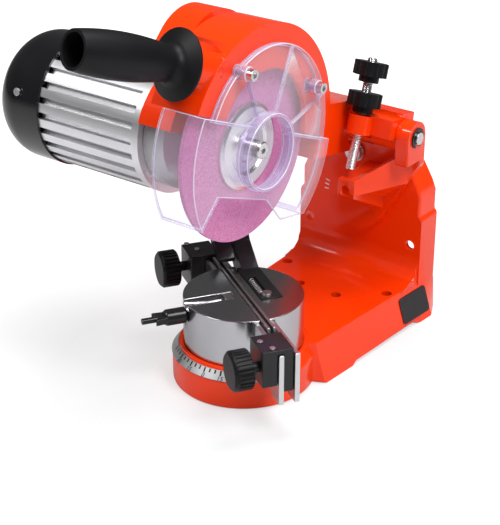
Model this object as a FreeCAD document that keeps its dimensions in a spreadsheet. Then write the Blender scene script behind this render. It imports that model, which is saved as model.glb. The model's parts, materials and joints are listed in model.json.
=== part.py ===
"""Bench grinder for saw chains, as a parametric document of separate pieces.

Millimetres and degrees. The origin is on the bench, under the vise's swivel axis.
+X runs right along the wheel spindle, +Y runs to the back and +Z is up.
"""
import FreeCAD, Part
import math
import os
import Sketcher
from FreeCAD import Vector

# Driving dimensions
SIZES = {
    # round nose of the base, which carries the vise
    "nose_radius": 55.3,
    "nose_wall_z": 23.0,
    "nose_top_radius": 49.5,
    "nose_top_z": 30.0,
    "nose_rim_height": 1.4,
    "nose_rim_width": 2.4,
    "nose_boss_radius": 17.0,
    # foot of the base
    "foot_top_z": 32.0,
    "foot_front_y": 14.0,
    "foot_front_half": 51.0,
    "foot_rear_half": 59.5,
    "foot_flare": 10.0,
    "foot_arch": 2.5,
    "casting_wall": 5.0,
    "bench_hole_x": 50.0,
    "bench_hole_y": 128.0,
    "inner_hole_x": 18.0,
    "inner_hole_y": 101.0,
    "bench_hole_radius": 4.25,
    # upright of the base
    "upright_front_y": 161.0,
    "upright_rear_y": 187.0,
    "upright_half": 60.3,
    "upright_step": 2.5,
    "upright_step_z": 88.0,
    "upright_height": 154.0,
    "cove_depth": 24.0,
    "cove_height": 24.0,
    "wall_hole_x": 50.0,
    "wall_hole_z": 63.0,
    # tilt pivot, arc slot and bracket
    "tilt_z": 98.0,
    "tilt_bolt_radius": 6.0,
    "slot_radius": 40.0,
    "slot_half_width": 4.6,
    "slot_half_angle": 58.0,
    "clamp_bolt_radius": 4.0,
    "fan_thickness": 8.7,
    "fan_lobe_radius": 29.0,
    "fan_half": 60.0,
    "fan_top_z": 149.0,
    "ear_width": 12.0,
    "ear_radius": 13.0,
    "stop_arm_x": 12.0,
    "stop_arm_width": 16.0,
    "stop_arm_top_z": 133.0,
    "stop_arm_height": 15.0,
    "stop_arm_front_y": 107.0,
    # hinge of the head
    "pin_y": 146.0,
    "pin_z": 165.0,
    "pin_radius": 5.0,
    "head_lift": 10.0,
    "running_fit": 0.05,
    "seat_gap": 0.3,
    # wheel and its housing
    "wheel_reach": 148.0,
    "wheel_radius": 72.5,
    "wheel_thickness": 3.2,
    "wheel_bore_radius": 11.1,
    "flange_radius": 32.5,
    "drum_radius": 85.0,
    "drum_back": 8.0,
    "drum_rise": 6.0,
    "drum_right_x": 12.0,
    "drum_left_x": -30.0,
    "drum_wall": 4.0,
    "drum_mouth_radius": 52.0,
    "sleeve_radius": 52.0,
    "lobe_radius": 44.0,
    "lobe_back": 31.0,
    "lobe_rise": 44.5,
    "lobe_left_x": -58.0,
    "lobe_right_x": -28.0,
    "hump_left_x": -82.0,
    "hump_right_x": -54.0,
    "hood_front_z": 35.0,
    "hood_slope": 12.0,
    "sleeve_drop": 18.0,
    "arm_width": 48.0,
    "arm_height": 42.0,
    "beam_front": 20.0,
    "beam_bottom": 2.0,
    "beam_top": 13.0,
    "step_top": 17.0,
    # motor
    "motor_radius": 50.0,
    "motor_bore_radius": 42.0,
    "motor_left_x": -158.0,
    "motor_right_x": -58.3,
    "motor_ring_width": 7.0,
    "fin_count": 26.0,
    "fin_gap": 5.2,
    "fin_depth": 4.5,
    "cap_radius": 51.5,
    "cap_left_x": -212.0,
    "cap_wall": 3.0,
    "cap_round": 28.0,
    "shield_radius": 44.0,
    "shaft_radius": 6.0,
    "bearing_radius": 16.0,
    "bearing_width": 9.0,
    "rotor_radius": 24.9,
    "air_gap": 0.6,
    "fan_radius": 40.0,
    # clear guard
    "guard_thickness": 2.5,
    "window_radius": 71.0,
    "window_x": 15.0,
    "skirt_radius": 82.5,
    "skirt_left_x": -17.0,
    "skirt_right_x": 20.5,
    "hub_ring_radius": 29.0,
    "guard_screw_radius": 69.0,
    # handle
    "grip_length": 90.0,
    "grip_flange_radius": 25.1,
    "grip_neck_radius": 12.8,
    "grip_belly_radius": 16.5,
    "grip_end_radius": 13.6,
    "grip_bore_radius": 11.4,
    "grip_x": -9.5,
    "grip_front_share": 0.83529,
    "grip_rise_share": 0.74118,
    "grip_lean": 8.8,
    "grip_yaw": 11.1,
    # depth stop
    "rod_x": 21.0,
    "rod_y": 25.0,
    "rod_radius": 4.0,
    "rod_lean": 8.0,
    "rod_low": 31.0,
    "rod_top": 58.0,
    "rod_boss_radius": 9.5,
    "knob_radius": 13.5,
    "knob_height": 11.0,
    "knob_hub_radius": 8.0,
    "knob_hub_height": 5.0,
    "lock_knob_z": 15.0,
    "depth_knob_z": 39.0,
    # vise
    "vise_turn": -33.0,
    "vise_radius": 46.5,
    "vise_bottom_z": 30.2,
    "vise_top_z": 70.0,
    "vise_floor_z": 36.0,
    "swivel_radius": 8.0,
    "swivel_bottom_z": 8.0,
    "rail_thickness": 2.0,
    "rail_gap": 2.2,
    "rail_left": 68.0,
    "rail_right": 63.5,
    "rail_top_z": 71.0,
    "rail_bottom_z": 40.0,
    "plate_inner": 4.2,
    "plate_thickness": 3.8,
    "plate_half": 97.0,
    "plate_top_z": 68.0,
    "plate_bottom_z": 33.0,
    "plate_end_z": 28.0,
    "clamp_z": 60.0,
    "groove_width": 11.0,
    "groove_floor_z": 64.6,
    "notch_front": 8.6,
    "notch_rear": 26.0,
    "notch_right": 16.0,
    "notch_floor_z": 62.0,
    "end_block_inner": 68.5,
    "end_block_outer": 95.0,
    "end_block_front": 20.0,
    "end_block_bottom_z": 43.0,
    "spindle_q": 86.0,
    "spindle_z": 56.5,
    "spindle_radius": 4.0,
    "thumb_radius": 15.0,
    "thumb_length": 15.0,
    "thumb_start": 27.0,
    "thumb_ridges": 28.0,
    "lever_radius": 6.3,
    "lever_start": 46.8,
    "lever_length": 17.0,
    "lever_tip": 81.0,
    "stop_spring_radius": 2.6,
    "stop_spring_wire": 0.8,
    "stop_spring_length": 25.0,
    "stop_spring_turns": 9.0,
    "head_spring_radius": 6.6,
    "head_spring_wire": 2.4,
    "head_spring_turns": 6.0,
    "head_spring_pitch": 3.6,
}


class Size:
    """A length or angle that knows its number and the sheet expression for it."""

    def __init__(self, value, text):
        self.value = value
        self.text = text

    def __add__(self, other):
        return Size(self.value + number(other), "(%s + %s)" % (self.text, words(other)))

    def __radd__(self, other):
        return Size(number(other) + self.value, "(%s + %s)" % (words(other), self.text))

    def __sub__(self, other):
        return Size(self.value - number(other), "(%s - %s)" % (self.text, words(other)))

    def __rsub__(self, other):
        return Size(number(other) - self.value, "(%s - %s)" % (words(other), self.text))

    def __mul__(self, other):
        return Size(self.value * number(other), "(%s * %s)" % (self.text, words(other)))

    def __rmul__(self, other):
        return Size(number(other) * self.value, "(%s * %s)" % (words(other), self.text))

    def __truediv__(self, other):
        return Size(self.value / number(other), "(%s / %s)" % (self.text, words(other)))

    def __neg__(self):
        return Size(-self.value, "(-%s)" % self.text)


def number(size):
    """The plain number of a size."""
    return size.value if isinstance(size, Size) else float(size)


def words(size):
    """The expression text of a size."""
    return size.text if isinstance(size, Size) else "%.6g" % size


class Table:
    """The sheet's sizes as attributes."""


doc = FreeCAD.newDocument("ChainGrinder")
sheet = doc.addObject("Spreadsheet::Sheet", "Sizes")
s = Table()
for row, (alias, value) in enumerate(SIZES.items(), start=1):
    sheet.set("A%d" % row, alias)
    sheet.set("B%d" % row, str(value))
    sheet.setAlias("B%d" % row, alias)
    setattr(s, alias, Size(value, "Sizes." + alias))
doc.recompute()

PIECES = []
X_AXIS = (1, 0, 0)
Y_AXIS = (0, 1, 0)
Z_AXIS = (0, 0, 1)
REACH = 300.0


# Small building functions

def spot(x=0, y=0, z=0, axis=Z_AXIS, angle=0):
    """Expression text of a placement."""
    place = "vector(%s; %s; %s)" % (words(x), words(y), words(z))
    turn = "rotation(vector(%g; %g; %g); %s)" % (axis + (words(angle),))
    return "placement(%s; %s)" % (place, turn)


def put(thing, *places):
    """Place a thing by the product of one or more placement expressions."""
    if places:
        thing.setExpression("Placement", " * ".join(places))
    return thing


def set_size(thing, prop, size):
    """Bind one property to a size."""
    thing.setExpression(prop, words(size))


def piece(thing, label, *places):
    """Name a finished sub-part, place it and list it for export."""
    thing.Label = label
    put(thing, *places)
    PIECES.append(thing)
    return thing


def cylinder(name, radius, length, *places):
    thing = doc.addObject("Part::Cylinder", name)
    set_size(thing, "Radius", radius)
    set_size(thing, "Height", length)
    return put(thing, *places)


def cone(name, radius_low, radius_high, length, *places):
    thing = doc.addObject("Part::Cone", name)
    set_size(thing, "Radius1", radius_low)
    set_size(thing, "Radius2", radius_high)
    set_size(thing, "Height", length)
    return put(thing, *places)


def box(name, low, high):
    """A box between two corners."""
    thing = doc.addObject("Part::Box", name)
    for prop, a, b in zip(("Length", "Width", "Height"), low, high):
        set_size(thing, prop, b - a)
    return put(thing, spot(*low))


def rod_x(name, radius, x0, x1, y=0, z=0):
    """A cylinder along X from x0 to x1."""
    return cylinder(name, radius, x1 - x0, spot(x0, y, z, Y_AXIS, 90))


def rod_y(name, radius, y0, y1, x=0, z=0):
    """A cylinder along Y from y0 to y1."""
    return cylinder(name, radius, y1 - y0, spot(x, y0, z, X_AXIS, -90))


def rod_z(name, radius, z0, z1, x=0, y=0):
    """A cylinder along Z from z0 to z1."""
    return cylinder(name, radius, z1 - z0, spot(x, y, z0))


def fuse(name, things):
    thing = doc.addObject("Part::MultiFuse", name)
    thing.Shapes = things
    thing.Refine = True
    return thing


def cut(name, base, tools):
    """A base less one or more tools."""
    thing = doc.addObject("Part::Cut", name)
    thing.Base = base
    thing.Tool = tools[0] if len(tools) == 1 else fuse(name + "_tools", tools)
    return thing


def common(name, first, second):
    thing = doc.addObject("Part::Common", name)
    thing.Base = first
    thing.Tool = second
    return thing


def new_body(name):
    return doc.addObject("PartDesign::Body", name)


def sketch(body, plane, outline, offset=0):
    """A closed outline of corners on one of the body's planes, each bound to sizes.

    A corner is (x, y). An arc to a corner is ((through x, y), (x, y)).
    """
    flat = [o for o in body.Origin.OriginFeatures if o.Role == plane + "_Plane"][0]
    drawing = body.newObject("Sketcher::SketchObject", body.Name + "_" + plane)
    drawing.AttachmentSupport = [(flat, "")]
    drawing.MapMode = "FlatFace"
    drawing.setExpression("AttachmentOffset.Base.z", words(offset))
    ends = [c[1] if isinstance(c[0], tuple) else c for c in outline]
    for index, corner in enumerate(outline):
        start = Vector(number(ends[index - 1][0]), number(ends[index - 1][1]), 0)
        end = Vector(number(ends[index][0]), number(ends[index][1]), 0)
        if isinstance(corner[0], tuple):
            middle = Vector(number(corner[0][0]), number(corner[0][1]), 0)
            drawing.addGeometry(Part.Arc(start, middle, end))
        else:
            drawing.addGeometry(Part.LineSegment(start, end))
    for index, corner in enumerate(outline):
        last_end, first_start = arc_ends(drawing, index)
        pin_point(drawing, index, last_end, ends[index])
        pin_point(drawing, index, first_start, ends[index - 1])
        if isinstance(corner[0], tuple):
            mark = drawing.addGeometry(Part.Point(Vector(number(corner[0][0]), number(corner[0][1]), 0)), True)
            pin_point(drawing, mark, 1, corner[0])
            drawing.addConstraint(Sketcher.Constraint("PointOnObject", mark, 1, index))
    return drawing


def arc_ends(drawing, index):
    """Which ends of an edge are its outline's end and start, since arcs may be stored reversed."""
    edge = drawing.Geometry[index]
    if edge.TypeId == "Part::GeomArcOfCircle" and edge.Circle.Axis.z < 0:
        return 1, 2
    return 2, 1


def pin_point(drawing, edge, end, corner):
    """Hold one end of an edge at a corner by its two bound distances."""
    for kind, size in (("DistanceX", corner[0]), ("DistanceY", corner[1])):
        index = drawing.addConstraint(Sketcher.Constraint(kind, -1, 1, edge, end, number(size)))
        drawing.setExpression("Constraints[%d]" % index, words(size))


def prism(name, plane, outline, length, offset=0):
    """An outline pulled along its plane's normal."""
    body = new_body(name)
    pad = body.newObject("PartDesign::Pad", name + "_pad")
    pad.Profile = sketch(body, plane, outline, offset)
    set_size(pad, "Length", length)
    return body


def turned(name, outline):
    """An outline of (x, radius) corners turned about the X axis."""
    body = new_body(name)
    drawing = sketch(body, "XY", outline)
    turn = body.newObject("PartDesign::Revolution", name + "_turn")
    turn.Profile = drawing
    turn.ReferenceAxis = (drawing, ["H_Axis"])
    turn.Angle = 360
    return body


def sector(name, outline, half_angle):
    """An outline of (radius, z) corners turned about Z, half_angle each side of +X."""
    body = new_body(name)
    drawing = sketch(body, "XZ", outline)
    turn = body.newObject("PartDesign::Revolution", name + "_turn")
    turn.Profile = drawing
    turn.ReferenceAxis = (drawing, ["V_Axis"])
    turn.Midplane = True
    set_size(turn, "Angle", 2 * half_angle)
    return body


def lofted(name, plane, first, last):
    """A body lofted between two outlines, each given with its offset."""
    body = new_body(name)
    loft = body.newObject("PartDesign::AdditiveLoft", name + "_loft")
    loft.Profile = sketch(body, plane, first[1], first[0])
    loft.Sections = [sketch(body, plane, last[1], last[0])]
    loft.Ruled = True
    return body


def notched_ring(body, slot, at_x, length, count):
    """Cut a slot, drawn square to X, towards -X and repeat it all round."""
    pocket = body.newObject("PartDesign::Pocket", body.Name + "_slot")
    pocket.Profile = sketch(body, "YZ", slot, at_x)
    set_size(pocket, "Length", length)
    around = body.newObject("PartDesign::PolarPattern", body.Name + "_round")
    around.Originals = [pocket]
    around.Axis = ([o for o in body.Origin.OriginFeatures if o.Role == "X_Axis"][0], [""])
    around.Angle = 360
    set_size(around, "Occurrences", count)
    body.Tip = around
    return body


def rectangle(x0, y0, x1, y1):
    return [(x0, y0), (x1, y0), (x1, y1), (x0, y1)]


def mirrored_outline(half):
    """A right half outline, from bottom to top, with its mirror image."""
    return half + [(-x, y) for x, y in reversed(half)]


# Frames that sub-parts are built in
HEAD = spot(0, s.pin_y, s.pin_z, X_AXIS, -s.head_lift)
VISE = spot(0, 0, 0, Z_AXIS, s.vise_turn)
WHEEL_Y = -s.wheel_reach
ROD = spot(s.rod_x, -s.rod_y, 0, X_AXIS, -s.rod_lean)


# Base

def foot_outline(widen, inset, rear_spread):
    """Corners of the foot seen from above, brought in by an inset."""
    front = s.foot_front_half + widen - inset
    rear = s.foot_rear_half + widen - inset
    tail = s.foot_rear_half + rear_spread - inset
    front_y = s.foot_front_y + inset
    corner_y = front_y + 10
    flank_end_y = s.upright_front_y + 9
    rear_y = s.upright_rear_y - inset
    inner = s.foot_front_half - 10 - inset
    return [
        (-inner, front_y), (inner, front_y), (front, corner_y), (rear, flank_end_y), (tail, rear_y),
        (-tail, rear_y), (-rear, flank_end_y), (-front, corner_y),
    ]


def foot_block(name, widen, inset, top_z):
    """The flared foot, wider at the bench than at its top."""
    return lofted(
        name, "XY",
        (0, foot_outline(s.foot_flare + widen, inset, 2)),
        (top_z, foot_outline(Size(widen, "%g" % widen), inset, 0)),
    )


def upright_outline(inset):
    """Corners of the upright seen from the front, from the foot up."""
    half = s.upright_half - inset
    upper = half - s.upright_step
    top = s.upright_height - inset
    return mirrored_outline([
        (half, s.foot_top_z - s.casting_wall + inset),
        (half, s.upright_step_z),
        (upper, s.upright_step_z + 3),
        (upper, top - 46),
        (upper - 3.5, top - 38),
        (upper - 12, top - 24),
        (upper - 20, top - 16),
        (upper - 33, top - 6),
        (upper - 48, top),
    ])


def make_base_casting():
    nose = rod_z("nose_wall", s.nose_radius, 0, s.nose_wall_z)
    bevel = cone("nose_bevel", s.nose_radius, s.nose_top_radius, s.nose_top_z - s.nose_wall_z, spot(0, 0, s.nose_wall_z))
    rim = rod_z("nose_rim", s.nose_top_radius, s.nose_top_z, s.nose_top_z + s.nose_rim_height)
    foot = foot_block("foot_block", 0, 0, s.foot_top_z)
    upright = prism(
        "upright_block", "XZ", upright_outline(0),
        s.upright_rear_y - s.upright_front_y, -s.upright_rear_y,
    )
    cove = prism("cove_block", "YZ", [
        (s.upright_front_y - s.cove_depth, s.foot_top_z - 1),
        (s.upright_front_y + 1, s.foot_top_z - 1),
        (s.upright_front_y + 1, s.foot_top_z + s.cove_height),
        (s.upright_front_y, s.foot_top_z + s.cove_height),
        ((s.upright_front_y - s.cove_depth * 0.293, s.foot_top_z + s.cove_height * 0.293),
         (s.upright_front_y - s.cove_depth, s.foot_top_z)),
    ], 2 * (s.foot_rear_half - 0.5), -(s.foot_rear_half - 0.5))
    solid = fuse("base_solid", [nose, bevel, rim, foot, upright, cove])

    wall = s.casting_wall
    under_foot = foot_block("foot_hollow", 0, wall, s.foot_top_z - wall)
    under_front = box("nose_divider", (-REACH, -REACH, 0), (REACH, s.nose_radius + wall, REACH))
    foot_hollow = cut("foot_hollow_behind_nose", under_foot, [under_front])
    nose_hollow = cut(
        "nose_hollow",
        rod_z("nose_inside", s.nose_top_radius - wall, 0, s.nose_wall_z),
        [rod_z("nose_boss", s.nose_boss_radius, 0, s.nose_wall_z)],
    )
    upright_hollow = prism(
        "upright_hollow", "XZ", upright_outline(wall),
        s.upright_rear_y - s.upright_front_y, -(s.upright_rear_y + wall),
    )
    arch = prism("foot_arch_cut", "YZ", [
        (s.nose_radius + 2, -1), (s.nose_radius + 10, s.foot_arch),
        (s.upright_front_y - 16, s.foot_arch), (s.upright_front_y - 8, -1),
    ], 2 * REACH, -REACH)
    rim_inside = rod_z(
        "rim_inside", s.nose_top_radius - s.nose_rim_width,
        s.nose_top_z, s.nose_top_z + s.nose_rim_height + 1,
    )
    swivel_bore = rod_z(
        "swivel_bore", s.swivel_radius + s.running_fit,
        s.swivel_bottom_z - 1, s.vise_top_z,
    )
    foot_relief = rod_z("foot_relief", s.nose_top_radius, s.nose_top_z, s.vise_top_z)
    tools = [foot_hollow, nose_hollow, upright_hollow, arch, rim_inside, swivel_bore]
    for side in (-1, 1):
        hole = s.bench_hole_radius
        tag = "left" if side < 0 else "right"
        tools.append(rod_z("bench_hole_" + tag, hole, -1, s.foot_top_z + 1, side * s.bench_hole_x, s.bench_hole_y))
        tools.append(rod_z("inner_hole_" + tag, hole, -1, s.foot_top_z + 1, side * s.inner_hole_x, s.inner_hole_y))
        tools.append(rod_y(
            "wall_hole_" + tag, hole, s.upright_front_y - s.cove_depth, s.upright_rear_y,
            side * s.wall_hole_x, s.wall_hole_z,
        ))
    tools.append(rod_y(
        "tilt_bore", s.tilt_bolt_radius + s.running_fit,
        s.upright_front_y - 1, s.upright_rear_y, 0, s.tilt_z,
    ))
    slot = sector("arc_slot", rectangle(
        s.slot_radius - s.slot_half_width, -s.upright_rear_y,
        s.slot_radius + s.slot_half_width, -(s.upright_front_y - 1),
    ), s.slot_half_angle)
    tools.append(put(slot, spot(0, 0, s.tilt_z, X_AXIS, 90), spot(0, 0, 0, Z_AXIS, 90)))
    rimless = cut("base_relieved", foot_without_nose(foot_relief, solid, rim), tools)
    return piece(rimless, "base_casting")


def foot_without_nose(relief, solid, rim):
    """The foot cleared above the nose, with the nose's rim kept."""
    return fuse("base_with_rim", [cut("base_cleared", solid, [relief]), rim])


def make_scale_plate():
    """Bent angle scale on the nose's bevel."""
    slope = (s.nose_radius - s.nose_top_radius) / (s.nose_top_z - s.nose_wall_z)
    low = s.nose_wall_z + 0.5
    high = s.nose_top_z - 0.4
    low_radius = s.nose_radius - slope * (low - s.nose_wall_z)
    high_radius = s.nose_radius - slope * (high - s.nose_wall_z)
    near = 0.1
    far = 0.9
    plate = sector("scale_band", [
        (low_radius + near, low), (low_radius + far, low),
        (high_radius + far, high), (high_radius + near, high),
    ], Size(75.0, "75"))
    return piece(plate, "angle_scale", spot(0, 0, 0, Z_AXIS, -90))


def make_side_badge():
    """Blank plate on the foot's right flank."""
    grown = foot_block("badge_outer", 0.9, 0, s.foot_top_z)
    region = box("badge_region", (0, s.bench_hole_y + 4, 6), (REACH, s.bench_hole_y + 41, s.foot_top_z - 5))
    kept = foot_block("badge_inner", 0.1, 0, s.foot_top_z)
    return piece(cut("badge_skin", common("badge_slab", grown, region), [kept]), "side_badge")


def make_tilt_pointer():
    """Bright pointer on the upright's right shoulder, and its screw."""
    shoulder_x = s.upright_half - s.upright_step - 16
    shoulder_z = s.upright_height - 20
    seat = spot(shoulder_x, s.upright_front_y + 3, shoulder_z, Y_AXIS, 45)
    tag = box("pointer_plate", (-5.5, 0, 0.35), (5.5, 11, 1.5))
    hole = rod_z("pointer_hole", 1.8, -1, 3, 0, 5.5)
    piece(cut("pointer_cut", tag, [hole]), "tilt_pointer", seat)
    screw = fuse("pointer_screw_solid", [
        rod_z("pointer_screw_head", 3.0, 1.55, 3.1, 0, 5.5),
        rod_z("pointer_screw_shank", 1.7, 0.3, 1.6, 0, 5.5),
    ])
    piece(screw, "pointer_screw", seat)


# Tilt bracket

def make_tilt_bracket():
    front = s.upright_front_y - s.seat_gap - s.fan_thickness
    back = s.upright_front_y - s.seat_gap
    lobe = rod_y("fan_lobe", s.fan_lobe_radius, front, back, 0, s.tilt_z)
    lobe_side = s.fan_lobe_radius * 0.83
    lobe_low = s.tilt_z - s.fan_lobe_radius * 0.56
    fan = prism("fan_plate", "XZ", mirrored_outline([
        (lobe_side, lobe_low), (s.fan_half, s.fan_top_z - 9), (s.fan_half, s.fan_top_z),
    ]), s.fan_thickness, -back)
    solids = [lobe, fan]
    for side in (-1, 1):
        tag = "left" if side < 0 else "right"
        inner = side * (s.fan_half - s.ear_width)
        outer = side * s.fan_half
        low_x, high_x = (outer, inner) if side < 0 else (inner, outer)
        solids.append(rod_x("ear_round_" + tag, s.ear_radius, low_x, high_x, s.pin_y, s.pin_z))
        solids.append(box(
            "ear_post_" + tag,
            (low_x, s.pin_y - s.ear_radius, s.fan_top_z - 6), (high_x, back, s.pin_z),
        ))
    arm_right = s.stop_arm_x + s.stop_arm_width
    solids.append(prism("stop_arm", "YZ", [
        (s.stop_arm_front_y, s.stop_arm_top_z),
        (s.stop_arm_front_y, s.stop_arm_top_z - s.stop_arm_height),
        (front + 1, s.tilt_z - 4),
        (front + 1, s.stop_arm_top_z),
    ], s.stop_arm_width, s.stop_arm_x))
    web_front = rectangle(
        arm_right - 4, s.stop_arm_top_z - s.stop_arm_height + 2,
        arm_right, s.stop_arm_top_z,
    )
    web_back = [
        (arm_right - 4, s.tilt_z + 2), (s.fan_half - s.ear_width * 0.8, s.tilt_z + 24),
        (s.fan_half - s.ear_width * 0.8, s.fan_top_z + 1), (arm_right - 4, s.stop_arm_top_z),
    ]
    solids.append(lofted("arm_web", "XZ", (-s.stop_arm_front_y, web_front), (-(front + 1), web_back)))
    solid = fuse("bracket_solid", solids)

    arm_middle = s.stop_arm_x + s.stop_arm_width / 2
    slot_z = s.stop_arm_top_z - s.stop_arm_height * 0.62
    tools = [
        rod_x("pin_bore", s.pin_radius + s.running_fit, -(s.fan_half + 1), s.fan_half + 1, s.pin_y, s.pin_z),
        rod_y("slot_round", 3.6, s.stop_arm_front_y - 1, s.stop_arm_front_y + 16, arm_middle, slot_z),
        box("slot_open", (arm_middle - 3.6, s.stop_arm_front_y - 1, s.tilt_z),
            (arm_middle + 3.6, s.stop_arm_front_y + 16, slot_z)),
        rod_y("tilt_thread", s.tilt_bolt_radius + s.running_fit, front + 3, back + 1, 0, s.tilt_z),
        rod_y("clamp_hole", s.clamp_bolt_radius + s.running_fit, front - 1, back + 1, 0, s.tilt_z + s.slot_radius),
    ]
    return piece(cut("bracket_cut", solid, tools), "tilt_bracket")


def make_tilt_fasteners():
    front = s.upright_front_y - s.seat_gap - s.fan_thickness
    wall_back = s.upright_front_y + s.casting_wall
    pivot = fuse("pivot_solid", [
        rod_y("pivot_shank", s.tilt_bolt_radius, front + 3.2, wall_back + 6, 0, s.tilt_z),
        rod_y("pivot_head", s.tilt_bolt_radius + 4, wall_back + 0.3, wall_back + 7, 0, s.tilt_z),
    ])
    piece(pivot, "tilt_pivot_bolt")
    bolt_z = s.tilt_z + s.slot_radius
    bolt = fuse("clamp_solid", [
        rod_y("clamp_shank", s.clamp_bolt_radius, front - 2, wall_back + 12, 0, bolt_z),
        rod_y("clamp_head", s.clamp_bolt_radius * 1.75, front - 5.2, front - 1.8, 0, bolt_z),
    ])
    piece(bolt, "tilt_clamp_bolt")
    washer_hole = s.clamp_bolt_radius + s.running_fit
    washer = cut(
        "washer_cut", rod_y("washer_disc", s.clamp_bolt_radius * 2.1, front - 1.7, front - 0.1, 0, bolt_z),
        [rod_y("washer_hole", washer_hole, front - 3, front + 1, 0, bolt_z)],
    )
    piece(washer, "tilt_clamp_washer")
    wing = prism("clamp_nut_wings", "XZ", rectangle(-15, bolt_z - 3, 15, bolt_z + 3), 5, -(wall_back + 8))
    nut = cut(
        "clamp_nut_cut",
        fuse("clamp_nut_solid", [rod_y("clamp_nut_hub", 8, wall_back + 0.3, wall_back + 8, 0, bolt_z), wing]),
        [rod_y("clamp_nut_hole", washer_hole, wall_back - 1, wall_back + 20, 0, bolt_z)],
    )
    piece(nut, "tilt_clamp_nut")


def make_hinge_pin():
    end = s.fan_half + 3
    pin = rod_x("pin_shaft", s.pin_radius, -end, end, s.pin_y, s.pin_z)
    clips = []
    grooves = []
    for side in (-1, 1):
        tag = "left" if side < 0 else "right"
        low = s.fan_half + 0.2 if side > 0 else -(s.fan_half + 1.4)
        grooves.append(cut(
            "pin_groove_" + tag,
            rod_x("pin_groove_outer_" + tag, s.pin_radius + 1, low, low + 1.2, s.pin_y, s.pin_z),
            [rod_x("pin_groove_core_" + tag, s.pin_radius - 0.8, low, low + 1.2, s.pin_y, s.pin_z)],
        ))
        ring = cut(
            "clip_ring_" + tag,
            rod_x("clip_disc_" + tag, s.pin_radius + 3.2, low + 0.1, low + 1.1, s.pin_y, s.pin_z),
            [
                rod_x("clip_bore_" + tag, s.pin_radius - 0.7, low - 1, low + 2, s.pin_y, s.pin_z),
                box("clip_mouth_" + tag, (low - 1, s.pin_y - 3.4, s.pin_z - 20), (low + 2, s.pin_y + 3.4, s.pin_z)),
            ],
        )
        clips.append(ring)
    piece(cut("pin_grooved", pin, grooves), "hinge_pin")
    piece(fuse("clip_pair", clips), "pin_clips")


def coil(radius, wire, pitch, turns, leg):
    """One unbroken wire wound about X, with a straight leg at each end."""
    points_per_turn = 4
    steps = int(round(turns * points_per_turn))
    spots = []
    for step in range(2 * steps + 1):
        angle = math.pi * step / points_per_turn
        spots.append(Vector(
            pitch * step / (2.0 * points_per_turn), radius * math.cos(angle), radius * math.sin(angle),
        ))
    edges = []
    for step in range(0, 2 * steps, 2):
        edges.append(Part.Arc(spots[step], spots[step + 1], spots[step + 2]).toShape())
    start_way = Vector(0, 0, -1)
    end_angle = math.pi * 2 * steps / points_per_turn
    end_way = Vector(0, -math.sin(end_angle), math.cos(end_angle))
    edges.insert(0, Part.LineSegment(spots[0] + start_way * leg, spots[0]).toShape())
    edges.append(Part.LineSegment(spots[-1], spots[-1] + end_way * leg).toShape())
    path = Part.Wire(edges)
    round_section = Part.Wire([Part.Circle(spots[0] + start_way * leg, Vector(0, 0, 1), wire / 2).toShape()])
    shell = Part.BRepOffsetAPI.MakePipeShell(path)
    shell.add(round_section, False, False)
    shell.build()
    shell.makeSolid()
    gap = pitch - wire
    print("coil of %g turns, wire %.2f, least gap between turns %.2f" % (turns, wire, gap))
    return shell.shape()


def make_head_spring():
    """Torsion spring on the hinge pin, with a leg down to the bracket."""
    radius = number(s.head_spring_radius)
    thing = doc.addObject("Part::Feature", "head_spring_wire")
    thing.Shape = coil(
        radius, number(s.head_spring_wire), number(s.head_spring_pitch),
        number(s.head_spring_turns), number(s.head_spring_wire),
    )
    piece(thing, "head_spring", spot(spring_left(), s.pin_y, s.pin_z))


def spring_left():
    """Where the spring starts on the pin, between the head's two bosses."""
    return -s.head_spring_turns * s.head_spring_pitch / 2 + 11


# Head

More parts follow.
